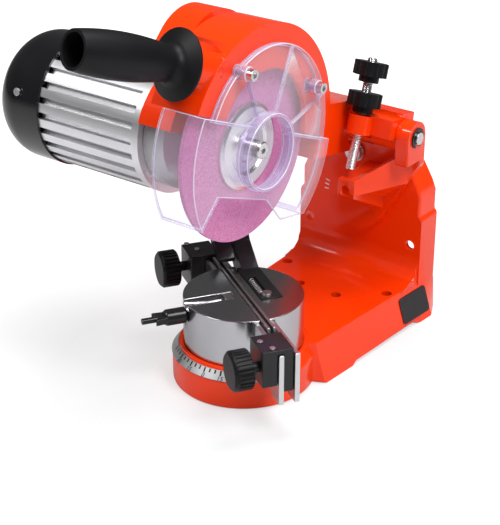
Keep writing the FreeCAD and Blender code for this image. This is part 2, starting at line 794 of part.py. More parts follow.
def make_head_casting():
    right = s.drum_right_x
    drum_y = WHEEL_Y + s.drum_back
    drum = rod_x("drum", s.drum_radius, s.drum_left_x, right, drum_y, s.drum_rise)
    sleeve = lobe_solid("sleeve", 0, s.lobe_left_x, s.lobe_right_x, s.hump_left_x, s.hump_right_x)
    boss = put(
        cylinder("grip_boss", s.grip_neck_radius + 5, 24),
        grip_spot(), GRIP_AIM, spot(0, 0, -24 - s.seat_gap),
    )
    below = put(
        box("hood_below", (-REACH, -REACH, -REACH), (REACH, REACH, 0)),
        spot(0, WHEEL_Y - s.drum_radius, s.hood_front_z), spot(0, 0, 0, X_AXIS, -s.hood_slope),
        spot(-REACH, -REACH, -REACH),
    )
    below_sleeve = put(
        box("sleeve_below", (-REACH, -REACH, -REACH), (REACH, REACH, 0)),
        spot(0, WHEEL_Y - s.drum_radius, s.hood_front_z - s.sleeve_drop), spot(0, 0, 0, X_AXIS, -s.hood_slope),
        spot(-REACH, -REACH, -REACH),
    )
    hood = fuse("hood_solid", [
        cut("drum_hood", fuse("drum_blank", [drum, boss]), [below]),
        cut("sleeve_hood", sleeve, [below_sleeve]),
    ])

    arm_right = s.rod_x - s.knob_radius - 0.7
    beam_half = s.fan_half - s.ear_width - 0.6
    solids = [
        hood,
        box("arm_box", (arm_right - s.arm_width, drum_y + s.drum_radius - 20, -s.arm_height / 2),
            (arm_right, -6, s.arm_height / 2)),
        box("beam_ledge", (-beam_half, -s.beam_front, -s.beam_bottom), (beam_half, 0, s.beam_top)),
        box("beam_step", (-beam_half, -5, 0), (beam_half, s.ear_radius, s.step_top)),
        rod_x("pin_boss", s.ear_radius, -beam_half, beam_half, 0, 0),
        put(
            cylinder("rod_boss", s.rod_boss_radius, s.beam_bottom + s.beam_top),
            ROD, spot(0, 0, -s.beam_bottom),
        ),
    ]
    solid = fuse("head_solid", solids)

    wall = s.drum_wall
    wheel_room = rod_x(
        "wheel_room", s.drum_radius - wall, s.drum_left_x + wall, right - wall, drum_y, s.drum_rise,
    )
    mouth = rod_x("drum_mouth", s.drum_mouth_radius, right - wall - 1, right + 1, drum_y, s.drum_rise)
    lobe_room = lobe_solid(
        "lobe_room", wall, s.lobe_left_x + wall, s.drum_left_x - wall, s.hump_left_x + wall, s.hump_right_x - wall,
    )
    motor_way = rod_x("motor_way", s.motor_radius + 2 * s.seat_gap, -REACH, s.lobe_left_x, WHEEL_Y, 0)
    motor_seat = rod_x(
        "motor_seat", s.shield_radius + s.seat_gap, s.lobe_left_x - 1, s.lobe_left_x + wall + 1, WHEEL_Y, 0,
    )
    shaft_way = rod_x("shaft_way", s.bearing_radius + 4, s.motor_right_x, 0, WHEEL_Y, 0)
    spring_room = box(
        "spring_room",
        (spring_left() - 4, -s.beam_front * 0.7, -s.ear_radius - 1),
        (spring_left() + s.head_spring_turns * s.head_spring_pitch + 4, s.ear_radius + 1,
         s.head_spring_radius + s.head_spring_wire + 0.6),
    )
    tools = [
        wheel_room, mouth, lobe_room, motor_way, motor_seat, shaft_way, spring_room,
        rod_x("head_pin_bore", s.pin_radius + s.running_fit, -REACH / 2, REACH / 2, 0, 0),
        put(
            cylinder("rod_bore", s.rod_radius + s.running_fit, 2 * s.arm_height),
            ROD, spot(0, 0, -s.arm_height),
        ),
    ]
    for index, (screw_y, screw_z) in enumerate(guard_screw_spots()):
        tools.append(rod_x("screw_thread_%d" % index, 2.3, right - 6, right + 1, WHEEL_Y + screw_y, screw_z))
    return piece(cut("head_cut", solid, tools), "head_casting", HEAD)


def lobe_solid(name, inset, left, right, hump_left, hump_right):
    """Sleeve round the motor's nose, drawn up and back into a rounded hump."""
    reach = Size(
        math.hypot(number(s.lobe_back), number(s.lobe_rise)),
        "sqrt(%s ^ 2 + %s ^ 2)" % (s.lobe_back.text, s.lobe_rise.text),
    )
    slant = Size(
        math.degrees(math.atan2(number(s.lobe_rise), number(s.lobe_back))),
        "atan2(%s; %s)" % (s.lobe_rise.text, s.lobe_back.text),
    )
    half = s.lobe_radius - inset
    neck = box(name + "_neck", (hump_left, 0, -half), (hump_right, reach, half))
    put(neck, spot(0, WHEEL_Y, 0, X_AXIS, slant), spot(hump_left, 0, -half))
    return fuse(name + "_solid", [
        rod_x(name + "_round", s.sleeve_radius - inset, left, right, WHEEL_Y, 0),
        rod_x(name + "_hump", s.lobe_radius - inset, hump_left, hump_right, WHEEL_Y + s.lobe_back, s.lobe_rise),
        neck,
    ])


def guard_screw_spots():
    """Offsets of the two guard screws from the wheel's axis."""
    return [(-0.5 * s.guard_screw_radius, 0.866 * s.guard_screw_radius),
            (0.793 * s.guard_screw_radius, 0.609 * s.guard_screw_radius)]


GRIP_AIM = " * ".join([
    spot(0, 0, 0, Z_AXIS, -s.grip_yaw), spot(0, 0, 0, X_AXIS, 90 - s.grip_lean),
])


def grip_spot():
    """Seat of the handle, carried outwards with the drum."""
    return spot(s.grip_x, WHEEL_Y - s.grip_front_share * s.drum_radius, s.grip_rise_share * s.drum_radius)


def make_grip():
    """Hollow bulged grip with a round guard flange, turned about its own axis."""
    length = s.grip_length
    flange = 4.0
    body = new_body("grip_body")
    drawing = sketch(body, "XZ", [
        (5, 0),
        (s.grip_flange_radius - 2, 0),
        ((s.grip_flange_radius - 0.2, 1.0), (s.grip_flange_radius, flange - 1)),
        (s.grip_neck_radius + 4, flange + 2.5),
        ((s.grip_neck_radius + 0.8, flange + 5.5), (s.grip_neck_radius, flange + 11)),
        ((s.grip_belly_radius - 0.4, length * 0.52), (s.grip_end_radius, length)),
        (s.grip_bore_radius, length),
        (s.grip_bore_radius - 1, length * 0.3),
        (5, length * 0.3),
    ])
    turn = body.newObject("PartDesign::Revolution", "grip_turn")
    turn.Profile = drawing
    turn.ReferenceAxis = (drawing, ["V_Axis"])
    turn.Angle = 360
    piece(body, "handle_grip", HEAD, grip_spot(), GRIP_AIM)
    bolt = fuse("grip_bolt_solid", [
        rod_z("grip_bolt_shank", 4.9, 0, length * 0.3 + 1),
        rod_z("grip_bolt_head", 8, length * 0.3 + 0.2, length * 0.3 + 6),
    ])
    piece(bolt, "handle_bolt", HEAD, grip_spot(), GRIP_AIM)


# Motor

def make_motor_body():
    left = s.motor_left_x
    right = s.motor_right_x
    body = turned("motor_tube", rectangle(left, s.motor_bore_radius, right, s.motor_radius))
    half = s.fin_gap / 2
    slot = rectangle(-half, s.motor_radius - s.fin_depth, half, s.motor_radius + 2)
    ring_x = s.lobe_left_x - s.motor_ring_width
    notched_ring(body, slot, ring_x, ring_x - left + 1, s.fin_count)
    piece(body, "motor_body", HEAD, spot(0, WHEEL_Y, 0))


def make_motor_shields():
    right = s.drum_left_x - s.drum_wall - 0.3
    left = s.motor_right_x
    bore = s.bearing_radius + s.running_fit
    shaft = s.shaft_radius + 1.5
    spigot = s.motor_bore_radius - s.running_fit
    front = turned("front_shield_body", [
        (left - 6, shaft), (left + 12, shaft), (left + 12, bore), (right, bore),
        (right, s.bearing_radius + 9), (left + 16, s.shield_radius - 4), (left + 10, s.shield_radius),
        (left + 0.2, s.shield_radius), (left + 0.2, spigot), (left - 6, spigot),
    ])
    piece(front, "front_shield", HEAD, spot(0, WHEEL_Y, 0))
    rear_x = s.motor_left_x - 0.2
    rear = turned("rear_shield_body", [
        (rear_x - s.bearing_width, bore), (rear_x + 2, bore), (rear_x + 2, shaft), (rear_x + 5, shaft),
        (rear_x + 5, spigot), (rear_x, spigot), (rear_x, s.motor_radius - s.fin_depth - 0.5),
        (rear_x - 3, s.motor_radius - s.fin_depth - 0.5), (rear_x - 3, s.bearing_radius + 5),
        (rear_x - s.bearing_width, s.bearing_radius + 4),
    ])
    piece(rear, "rear_shield", HEAD, spot(0, WHEEL_Y, 0))


def make_bearings():
    front_x = s.motor_right_x + 12.2
    rear_x = s.motor_left_x - s.bearing_width
    for label, left in (("front_bearing", front_x), ("rear_bearing", rear_x)):
        ring = turned(label + "_body", [
            (left, s.shaft_radius + s.running_fit), (left + s.bearing_width, s.shaft_radius + s.running_fit),
            (left + s.bearing_width, s.shaft_radius + 3), (left + s.bearing_width - 0.6, s.shaft_radius + 3.4),
            (left + s.bearing_width - 0.6, s.bearing_radius - 2.6), (left + s.bearing_width, s.bearing_radius - 2.2),
            (left + s.bearing_width, s.bearing_radius), (left, s.bearing_radius),
        ])
        piece(ring, label, HEAD, spot(0, WHEEL_Y, 0))


def make_motor_core():
    length_left = s.motor_left_x + 18
    length_right = s.motor_right_x - 24
    stator = turned("stator_body", rectangle(
        length_left, s.rotor_radius + s.air_gap, length_right, s.motor_bore_radius - s.running_fit,
    ))
    piece(stator, "stator", HEAD, spot(0, WHEEL_Y, 0))
    rotor = turned("rotor_body", rectangle(
        length_left + 2, s.shaft_radius + s.running_fit, length_right - 2, s.rotor_radius,
    ))
    piece(rotor, "rotor", HEAD, spot(0, WHEEL_Y, 0))


def make_end_cap():
    left = s.cap_left_x
    right = s.motor_left_x - s.running_fit
    wall = s.cap_wall
    outer = s.cap_radius
    shoulder = outer - s.cap_round
    bend = 0.293 * s.cap_round
    body = turned("cap_body", [
        (left, 0), (left, shoulder),
        ((left + bend, outer - bend), (left + s.cap_round, outer)),
        (right, outer), (right, outer - wall + 0.4),
        (left + s.cap_round, outer - wall),
        ((left + wall + bend, outer - wall - bend), (left + wall, shoulder)),
        (left + wall, 0),
    ])
    rocker_hole = box("switch_hole", (left - 1, -7, -11), (left + wall + 1, 7, 11))
    gland_x = left + 34
    gland_hole = rod_y("gland_hole", 6.2, outer - 12, outer + 1, gland_x, -10)
    cap = cut("cap_cut", body, [rocker_hole, gland_hole])
    piece(cap, "motor_end_cap", HEAD, spot(0, WHEEL_Y, 0))
    screw = fuse("cap_screw_solid", [
        rod_y("cap_screw_head", 3.1, -outer - 1.4, -outer + 0.2, left + 33, 8),
        rod_y("cap_screw_shank", 1.9, -outer, -outer + 4.2, left + 33, 8),
    ])
    hole = rod_y("cap_screw_hole", 1.95, -outer - 1, -outer + 6, left + 33, 8)
    cap.Tool.Shapes = cap.Tool.Shapes + [hole]
    piece(screw, "cap_screw", HEAD, spot(0, WHEEL_Y, 0))
    gland = cut("gland_cut", fuse("gland_solid", [
        rod_y("gland_barrel", 6.1, outer - 6, outer + 9, gland_x, -10),
        rod_y("gland_nut", 9.5, outer + 0.1, outer + 6, gland_x, -10),
    ]), [rod_y("gland_bore", 3.6, outer - 7, outer + 10, gland_x, -10)])
    piece(gland, "cable_gland", HEAD, spot(0, WHEEL_Y, 0))


def make_switch():
    left = s.cap_left_x
    bezel = cut(
        "bezel_cut",
        fuse("bezel_solid", [
            box("bezel_flange", (left - 1.6, -9, -13), (left - 0.1, 9, 13)),
            box("bezel_body", (left - 1.6, -6.9, -10.9), (left + 12, 6.9, 10.9)),
        ]),
        [
            box("bezel_room", (left - 3, -5.6, -9.6), (left + 10, 5.6, 9.6)),
            rod_y("bezel_pivot_hole", 1.2 + s.running_fit, -8, 8, left + 2, 0),
        ],
    )
    piece(bezel, "switch_bezel", HEAD, spot(0, WHEEL_Y, 0))
    tilting = prism("rocker_body", "XZ", [
        (left - 3.4, -8.6), (left - 1.2, 0), (left - 3.4, 8.6), (left + 5, 8.0), (left + 8, 0), (left + 5, -8.0),
    ], 10.6, -5.3)
    rocker = fuse("rocker_solid", [tilting, rod_y("rocker_pivot", 1.2, -6.3, 6.3, left + 2, 0)])
    piece(rocker, "switch_rocker", HEAD, spot(0, WHEEL_Y, 0))


def make_fan_wheel():
    left = s.cap_left_x + 20
    hub = rod_x("fan_hub", 11, left, left + 12, 0, 0)
    disc = rod_x("fan_disc", s.fan_radius, left, left + 1.6, 0, 0)
    solids = [hub, disc]
    blade_count = 8
    for index in range(blade_count):
        blade = put(
            box("fan_blade_%d" % index, (left, -0.9, 9), (left + 11, 0.9, s.fan_radius - 1)),
            spot(0, 0, 0, X_AXIS, index * 360.0 / blade_count), spot(left, -0.9, 9),
        )
        solids.append(blade)
    bore = rod_x("fan_bore", s.shaft_radius + s.running_fit, left - 1, left + 14, 0, 0)
    piece(cut("fan_cut", fuse("fan_solid", solids), [bore]), "cooling_fan", HEAD, spot(0, WHEEL_Y, 0))


# Spindle and wheel

def make_spindle():
    half = s.wheel_thickness / 2
    clearance = s.running_fit
    bore_fit = s.wheel_bore_radius - clearance
    flange_x = half + 0.05
    shaft = turned("shaft_body", [
        (s.cap_left_x + 18, 0), (s.cap_left_x + 18, s.shaft_radius), (-half - 8, s.shaft_radius),
        (half - 0.5, s.shaft_radius), (half - 0.5, 0),
    ])
    piece(shaft, "spindle_shaft", HEAD, spot(0, WHEEL_Y, 0))
    inner = turned("inner_flange_body", [
        (-flange_x - 9, s.shaft_radius + clearance), (half - 0.4, s.shaft_radius + clearance),
        (half - 0.4, bore_fit), (-flange_x, bore_fit), (-flange_x, s.flange_radius),
        (-flange_x - 3.4, s.flange_radius), (-flange_x - 5, 13), (-flange_x - 9, 13),
    ])
    piece(inner, "inner_flange", HEAD, spot(0, WHEEL_Y, 0))
    wheel = turned("wheel_body", rectangle(-half, s.wheel_bore_radius, half, s.wheel_radius))
    piece(wheel, "grinding_wheel", HEAD, spot(0, WHEEL_Y, 0))
    outer = turned("outer_flange_body", [
        (flange_x, 5.2), (flange_x, s.flange_radius), (flange_x + 2.4, s.flange_radius),
        (flange_x + 4, s.flange_radius - 3), (flange_x + 4, 21), (flange_x + 2, 19),
        (flange_x + 2, 12), (flange_x + 4.4, 10.5), (flange_x + 4.4, 5.2),
    ])
    piece(outer, "outer_flange", HEAD, spot(0, WHEEL_Y, 0))
    socket = prism("socket_hole", "YZ", hexagon(2.6), 6, flange_x + 13)
    screw = cut("hub_screw_cut", turned("hub_screw_body", [
        (half - 0.45, 0), (half - 0.45, 5.0), (flange_x + 4.5, 5.0), (flange_x + 4.5, 6.4),
        (flange_x + 15.6, 6.4), (flange_x + 16.4, 5.6), (flange_x + 16.4, 0),
    ]), [socket])
    piece(screw, "hub_screw", HEAD, spot(0, WHEEL_Y, 0))


def hexagon(radius):
    return [(radius * math.cos(math.radians(60 * k)), radius * math.sin(math.radians(60 * k))) for k in range(6)]


# Clear guard

def seam_keep(name, lift, upper):
    """Half space above or below the seam between the guard's two mouldings."""
    low, high = (0, REACH) if upper else (-REACH, 0)
    half = box(name, (-REACH, -REACH, low), (REACH, REACH, high))
    return put(
        half, spot(0, -s.drum_radius, s.hood_front_z + lift),
        spot(0, 0, 0, X_AXIS, -s.hood_slope), spot(-REACH, -REACH, low),
    )


def make_guard_window():
    """Flat clear window over the housing's mouth."""
    left = s.window_x
    right = left + s.guard_thickness
    rim_left = s.drum_right_x + 0.1
    back, rise = s.drum_back, s.drum_rise
    plate = rod_x("window_plate", s.window_radius, left, right, back, rise)
    rim = cut(
        "window_rim", rod_x("window_rim_outer", s.window_radius, rim_left, right, back, rise),
        [rod_x("window_rim_inner", s.window_radius - s.guard_thickness, rim_left - 1, right + 1, back, rise)],
    )
    ring = rod_x("hub_ring", s.hub_ring_radius, left, s.skirt_right_x + 5)
    ribs = []
    for index, angle in enumerate((20, 62, 105, 152)):
        rib = box("window_rib_%d" % index, (right - 0.5, -0.9, s.hub_ring_radius - 2), (right + 3, 0.9, s.window_radius + back))
        ribs.append(put(rib, spot(0, 0, 0, X_AXIS, 90 - angle), spot(right - 0.5, -0.9, s.hub_ring_radius - 2)))
    bosses = []
    holes = [rod_x("hub_ring_bore", s.hub_ring_radius - s.guard_thickness, left - 1, s.skirt_right_x + 6)]
    for index, (screw_y, screw_z) in enumerate(guard_screw_spots()):
        bosses.append(rod_x("window_boss_%d" % index, 5.4, rim_left, right + 6, screw_y, screw_z))
        holes.append(rod_x("window_boss_hole_%d" % index, 2.4, rim_left - 1, right + 7, screw_y, screw_z))
    upper = common("window_upper", fuse("window_solid", [plate, rim]), seam_keep("window_keep", -3, True))
    rib_round = rod_x("rib_round", s.window_radius - 0.5, right - 1, right + 4, back, rise)
    inner_ribs = common("window_inner_ribs", fuse("window_ribs", ribs), rib_round)
    upper_ribs = common("window_upper_ribs", inner_ribs, seam_keep("rib_keep", s.seat_gap, True))
    full = fuse("window_full", [upper, upper_ribs, ring] + bosses)
    piece(cut("window_cut", full, holes), "guard_window", HEAD, spot(0, WHEEL_Y, 0))


def make_guard_skirt():
    """Clear cup round the lower half of the wheel, with an arched mouth at the bottom."""
    left = s.skirt_left_x
    right = s.skirt_right_x
    thick = s.guard_thickness
    cup = cut(
        "skirt_cup", rod_x("skirt_outer", s.skirt_radius, left, right),
        [rod_x("skirt_inner", s.skirt_radius - thick, left - 1, right - thick)],
    )
    lower = common("skirt_lower", cup, seam_keep("skirt_keep", -s.seat_gap, False))
    mouth = prism("skirt_mouth", "YZ", [
        (-66, -50), (-50, -27), (8, -38), (30, -57), (REACH / 2, -57), (REACH / 2, -REACH / 2), (-66, -REACH / 2),
    ], REACH, -REACH / 2)
    hub_way = rod_x("skirt_hub_way", s.hub_ring_radius + 0.1, left - 1, right + 1)
    rear_open = box("skirt_rear_open", (-REACH, 60, -REACH), (s.drum_right_x + 1, REACH, REACH))
    piece(cut("skirt_cut", lower, [mouth, hub_way, rear_open]), "guard_skirt", HEAD, spot(0, WHEEL_Y, 0))


def make_guard_screws():
    screws = []
    top = s.window_x + s.guard_thickness + 6.1
    for index, (screw_y, screw_z) in enumerate(guard_screw_spots()):
        shank = rod_x("guard_shank_%d" % index, 2.2, s.drum_right_x - 5, top, screw_y, screw_z)
        head = rod_x("guard_head_%d" % index, 4.2, top, top + 4.4, screw_y, screw_z)
        key = rod_x("guard_key_%d" % index, 2.0, top + 1.6, top + 5, screw_y, screw_z)
        screws.append(cut("guard_screw_%d" % index, fuse("guard_screw_solid_%d" % index, [shank, head]), [key]))
    piece(fuse("guard_screw_pair", screws), "guard_screws", HEAD, spot(0, WHEEL_Y, 0))


# Depth stop

def fluted_knob(name, low):
    """A knob with eight flutes and a round hub under it, bored along Z from low."""
    hub = rod_z(name + "_hub", s.knob_hub_radius, low, low + s.knob_hub_height + 1)
    top = rod_z(name + "_top", s.knob_radius, low + s.knob_hub_height, low + s.knob_hub_height + s.knob_height)
    tools = []
    flute_count = 8
    for index in range(flute_count):
        angle = math.radians(360.0 * index / flute_count)
        reach = s.knob_radius + 2.2
        tools.append(rod_z(
            "%s_flute_%d" % (name, index), 3.6, low - 1, low + s.knob_hub_height + s.knob_height + 1,
            reach * math.cos(angle), reach * math.sin(angle),
        ))
    tools.append(rod_z(
        name + "_bore", s.rod_radius + s.running_fit, low - 1, low + s.knob_hub_height + s.knob_height + 1,
    ))
    return cut(name + "_cut", fuse(name + "_solid", [hub, top]), tools)


def make_depth_stop():
    rod_body = fuse("depth_rod_solid", [
        rod_z("depth_rod_shank", s.rod_radius, 1 - s.rod_low, s.rod_top),
        cone("depth_rod_tip", s.rod_radius - 1, s.rod_radius, 1, spot(0, 0, -s.rod_low)),
    ])
    piece(rod_body, "depth_rod", HEAD, ROD)
    piece(fluted_knob("depth_knob", s.depth_knob_z), "depth_knob", HEAD, ROD)
    piece(fluted_knob("lock_knob", s.lock_knob_z), "lock_knob", HEAD, ROD)


# Vise

def make_vise_block():
    block = rod_z("vise_disc", s.vise_radius, s.vise_bottom_z, s.vise_top_z)
    slot_half = s.plate_inner + s.plate_thickness + s.seat_gap
    rail_half = s.rail_gap / 2 + s.rail_thickness + s.seat_gap
    over = s.vise_radius + 1
    top = s.vise_top_z + 1
    tools = [
        box("plate_tunnel", (-over, -slot_half, s.vise_floor_z), (over, slot_half, s.plate_top_z + 0.1)),
        box("rail_slot", (-over, -rail_half, s.vise_floor_z), (over, rail_half, top)),
        box("clamp_groove", (-s.groove_width / 2, -over, s.groove_floor_z), (s.groove_width / 2, -s.notch_front, top)),
        box("stop_notch", (-over, s.notch_front, s.notch_floor_z), (s.notch_right, s.notch_rear, top)),
        rod_y("lever_bore", s.spindle_radius + s.running_fit, -over, -slot_half - 2, 0, s.clamp_z),
        rod_z("swivel_socket", s.swivel_radius + s.running_fit, s.vise_bottom_z - 1, s.vise_floor_z - 2),
        rod_z("stop_screw_hole", 2.1, s.notch_floor_z - 10, s.notch_floor_z + 1, s.notch_right - 5, s.notch_front + 6),
    ]
    piece(cut("vise_cut", block, tools), "vise_block", VISE)
    pivot = rod_z("swivel_rod", s.swivel_radius, s.swivel_bottom_z, s.vise_floor_z - 2.2)
    piece(pivot, "swivel_pin", VISE, spot(0, 0, s.swivel_bottom_z))


def make_rails():
    for label, side in (("front_rail", -1), ("rear_rail", 1)):
        near = s.rail_gap / 2
        far = near + s.rail_thickness
        low_y, high_y = (-far, -near) if side < 0 else (near, far)
        rail = prism(label + "_body", "XZ", [
            (-s.rail_left, s.rail_top_z - 8), (-s.rail_left + 14, s.rail_bottom_z + 14), (-s.vise_radius, s.rail_bottom_z),
            (s.vise_radius, s.rail_bottom_z), (s.rail_right - 8, s.rail_bottom_z + 14), (s.rail_right, s.rail_top_z - 8),
            (s.rail_right - 3, s.rail_top_z), (-s.rail_left + 3, s.rail_top_z),
        ], s.rail_thickness, -high_y)
        piece(rail, label, VISE)


def make_outer_plates():
    half = s.plate_half
    clear = s.vise_radius + 4
    outline = mirrored_outline([
        (clear - 1, s.vise_floor_z + 0.2), (clear + 1, s.plate_bottom_z), (half - 20, s.plate_bottom_z),
        (half - 14, s.plate_end_z), (half, s.plate_end_z), (half, s.plate_top_z),
    ])
    for label, side in (("front_plate", -1), ("rear_plate", 1)):
        far = s.plate_inner + s.plate_thickness
        high_y = -s.plate_inner if side < 0 else far
        plate = prism(label + "_body", "XZ", outline, s.plate_thickness, -high_y)
        piece(plate, label, VISE)


def make_end_blocks():
    """Saddle blocks over the front plate's ends, each with two small screws on top."""
    front_plate = s.plate_inner + s.plate_thickness + s.seat_gap
    cap_z = s.plate_top_z + 0.2
    screws = []
    for label, side in (("left_end_block", -1), ("right_end_block", 1)):
        inner, outer = side * s.end_block_inner, side * s.end_block_outer
        low_x, high_x = (outer, inner) if side < 0 else (inner, outer)
        spindle_x = side * s.spindle_q
        middle = s.plate_inner - s.seat_gap
        block = fuse(label + "_solid", [
            box(label + "_front", (low_x, -s.end_block_front, s.end_block_bottom_z), (high_x, -front_plate, cap_z)),
            box(label + "_cap", (low_x, -s.end_block_front, cap_z - 0.05), (high_x, middle, cap_z + 3.6)),
            box(label + "_core", (low_x, -middle, s.end_block_bottom_z - 6), (high_x, middle, cap_z + 3.6)),
        ])
        bore = rod_y(
            label + "_bore", s.spindle_radius + s.running_fit,
            -s.end_block_front - 1, -front_plate + 0.05, spindle_x, s.spindle_z,
        )
        screw_places = [(spindle_x - 7, -s.end_block_front + 4), (spindle_x + 5, -s.end_block_front + 9)]
        holes = [bore]
        for index, (screw_x, screw_y) in enumerate(screw_places):
            mark = "%s_%d" % (label, index)
            holes.append(rod_z(mark + "_screw_hole", 1.35, cap_z - 6, cap_z + 5, screw_x, screw_y))
            screws.append(fuse(mark + "_screw", [
                rod_z(mark + "_screw_shank", 1.3, cap_z - 5, cap_z + 3.7, screw_x, screw_y),
                rod_z(mark + "_screw_head", 2.2, cap_z + 3.65, cap_z + 4.8, screw_x, screw_y),
            ]))
        piece(cut(label + "_cut", block, holes), label, VISE)
    piece(fuse("end_block_screw_group", screws), "end_block_screws", VISE)


def make_thumb_knobs():
    front_plate = s.plate_inner + s.plate_thickness + s.seat_gap
    for name, side in (("left", -1), ("right", 1)):
        seat = [VISE, spot(side * s.spindle_q, 0, s.spindle_z), spot(0, 0, 0, Z_AXIS, 90)]
        tip = -front_plate - 1
        spindle = turned(name + "_spindle_body", [
            (-s.thumb_start - 6, 0), (-s.thumb_start - 6, s.spindle_radius),
            (tip - 1, s.spindle_radius), (tip, s.spindle_radius - 1), (tip, 0),
        ])
        piece(spindle, name + "_spindle", *seat)
        far = -s.thumb_start - s.thumb_length
        near = -s.thumb_start
        knob = turned(name + "_thumb_body", [
            (far, 0), (far, s.thumb_radius - 2), (far + 2, s.thumb_radius), (near - 1, s.thumb_radius),
            (near, s.thumb_radius - 1), (near, s.spindle_radius + 3.4), (near + 2.5, s.spindle_radius + 2.4),
            (near + 2.5, s.spindle_radius + s.running_fit), (near - 6.1, s.spindle_radius + s.running_fit), (near - 6.1, 0),
        ])
        ridge = 0.8
        slot = rectangle(-ridge, s.thumb_radius - 1.0, ridge, s.thumb_radius + 2)
        notched_ring(knob, slot, near + 1, s.thumb_length - 2.5, s.thumb_ridges)
        piece(knob, name + "_thumb_knob", *seat)


def make_clamp_lever():
    """Cam lever on the vise's front, turned about its own axis, with two wings and a stub rod."""
    start = s.lever_start
    end = start + s.lever_length
    inside = s.plate_inner + s.plate_thickness + s.seat_gap + 2.5
    seat = [VISE, spot(0, 0, s.clamp_z), spot(0, 0, 0, Z_AXIS, 90)]
    spindle = rod_x("lever_spindle", s.spindle_radius, -start - 5, -inside, 0, 0)
    barrel = turned("lever_barrel", [
        (-end, 0), (-end, s.lever_radius - 1.2), (-end + 2, s.lever_radius), (-start - 1, s.lever_radius),
        (-start, s.lever_radius - 1), (-start, 0),
    ])
    wing = prism("lever_wing", "XY", [
        (-end - 8, -6.6), (-end + 4, -5.4), (-end + 4, 5.4), (-end - 8, 6.6), (-end - 5, 2.6), (-end - 5, -2.6),
    ], 5.0, -2.5)
    stub = rod_x("lever_stub", 2.4, -s.lever_tip, -end + 1, 0, 0)
    piece(fuse("lever_solid", [barrel, wing, stub, spindle]), "clamp_lever", *seat)
    jaw = box("jaw_box", (-s.groove_width / 2 + 0.4, -s.notch_front - 7, s.groove_floor_z + 0.1),
              (s.groove_width / 2 - 0.4, -s.notch_front - 0.2, s.vise_top_z - 0.6))
    piece_box(jaw, "clamp_jaw", (-s.groove_width / 2 + 0.4, -s.notch_front - 7, s.groove_floor_z + 0.1))


def piece_box(thing, label, corner):
    """A box piece of the vise, placed from its own corner."""
    piece(thing, label, VISE, spot(*corner))


def make_chain_stop():
    """Bracket in the vise's notch with its spring, screw and flip-up pawl."""
    near = s.notch_front + 0.2
    far = s.notch_rear - 0.3
    floor = s.notch_floor_z + 0.1
    top = s.vise_top_z + 0.8
    right = s.notch_right - 0.4
    window_left, window_right = -22.0, s.stop_spring_length - 20.0 + 0.5
    foot = box("stop_foot", (-s.vise_radius + 6, near, floor), (right, far, top))
    riser = prism("stop_riser", "XZ", [
        (-s.vise_radius + 10, floor), (-s.vise_radius + 10, top), (-57, 86), (-60, 92), (-72, 92), (-72, 80), (-54, floor),
    ], far - near - 3, -far)
    window = box("stop_window", (window_left, near + 1.4, floor + 2.4), (window_right + 1, near + 8.4, top + 1))
    pawl_x, pawl_z = -66.0, 86.0
    hole = rod_y("pawl_pin_hole", 2.05, near - 20, far + 1, pawl_x, pawl_z)
    screw_hole = rod_z("stop_screw_way", 2.3, floor - 1, top + 1, s.notch_right - 5, s.notch_front + 6)
    piece(cut("stop_bracket_cut", fuse("stop_bracket_solid", [foot, riser]), [window, hole, screw_hole]), "stop_bracket", VISE)
    screw = fuse("stop_screw_solid", [
        rod_z("stop_screw_shank", 2.0, s.notch_floor_z - 8, top + 0.1, s.notch_right - 5, s.notch_front + 6),
        rod_z("stop_screw_head", 3.9, top + 0.05, top + 2.6, s.notch_right - 5, s.notch_front + 6),
    ])
    piece(screw, "stop_screw", VISE)
    spring = doc.addObject("Part::Feature", "stop_spring_wire")
    spring.Shape = coil(
        number(s.stop_spring_radius), number(s.stop_spring_wire),
        number(s.stop_spring_length) / number(s.stop_spring_turns), number(s.stop_spring_turns),
        number(s.stop_spring_wire),
    )
    piece(spring, "stop_spring", VISE, spot(window_left + 2, near + 4.9, floor + 2.7 + s.stop_spring_radius + s.stop_spring_wire / 2))
    eye_low = near + 2.6
    pin = rod_y("pawl_pin_rod", 2.0, -3, far - 1, pawl_x, pawl_z)
    piece(pin, "pawl_pin")
    put(pin, VISE, spot(pawl_x, -3, pawl_z, X_AXIS, -90))
    tongue = prism("pawl_tongue", "XZ", [
        (pawl_x - 4, pawl_z - 3), (pawl_x + 12, s.rail_top_z + 1.2), (pawl_x + 16, s.rail_top_z + 1.2),
        (pawl_x + 16, s.rail_top_z + 4), (pawl_x + 3, pawl_z + 4),
    ], eye_low - 0.3 + 2.8, -(eye_low - 0.3))
    eye = rod_y("pawl_eye", 5, -2.8, eye_low - 0.3, pawl_x, pawl_z)
    pawl_hole = rod_y("pawl_hole", 2.05, -REACH, REACH, pawl_x, pawl_z)
    piece(cut("pawl_cut", fuse("pawl_solid", [eye, tongue]), [pawl_hole]), "stop_pawl", VISE)


def build():
    make_base_casting()
    make_scale_plate()
    make_side_badge()
    make_tilt_pointer()
    make_tilt_bracket()
    make_tilt_fasteners()
    make_hinge_pin()
    make_head_spring()
    make_head_casting()
    make_grip()
    make_motor_body()
    make_motor_shields()
    make_bearings()
    make_motor_core()
    make_end_cap()
    make_switch()
    make_fan_wheel()
    make_spindle()
    make_guard_window()
    make_guard_skirt()
    make_guard_screws()
    make_depth_stop()
    make_vise_block()
    make_rails()
    make_outer_plates()
    make_end_blocks()
    make_thumb_knobs()
    make_clamp_lever()
    make_chain_stop()
    doc.recompute()


def check():
    """Stop if any object failed or any sub-part has no sound solid."""
    for thing in doc.Objects:
        if "Invalid" in thing.State or "Error" in thing.State:
            raise RuntimeError("%s failed: %s" % (thing.Name, thing.State))
    for thing in PIECES:
        if thing.Shape.isNull() or not thing.Shape.isValid() or not thing.Shape.Solids:
            raise RuntimeError("%s has no sound solid" % thing.Label)


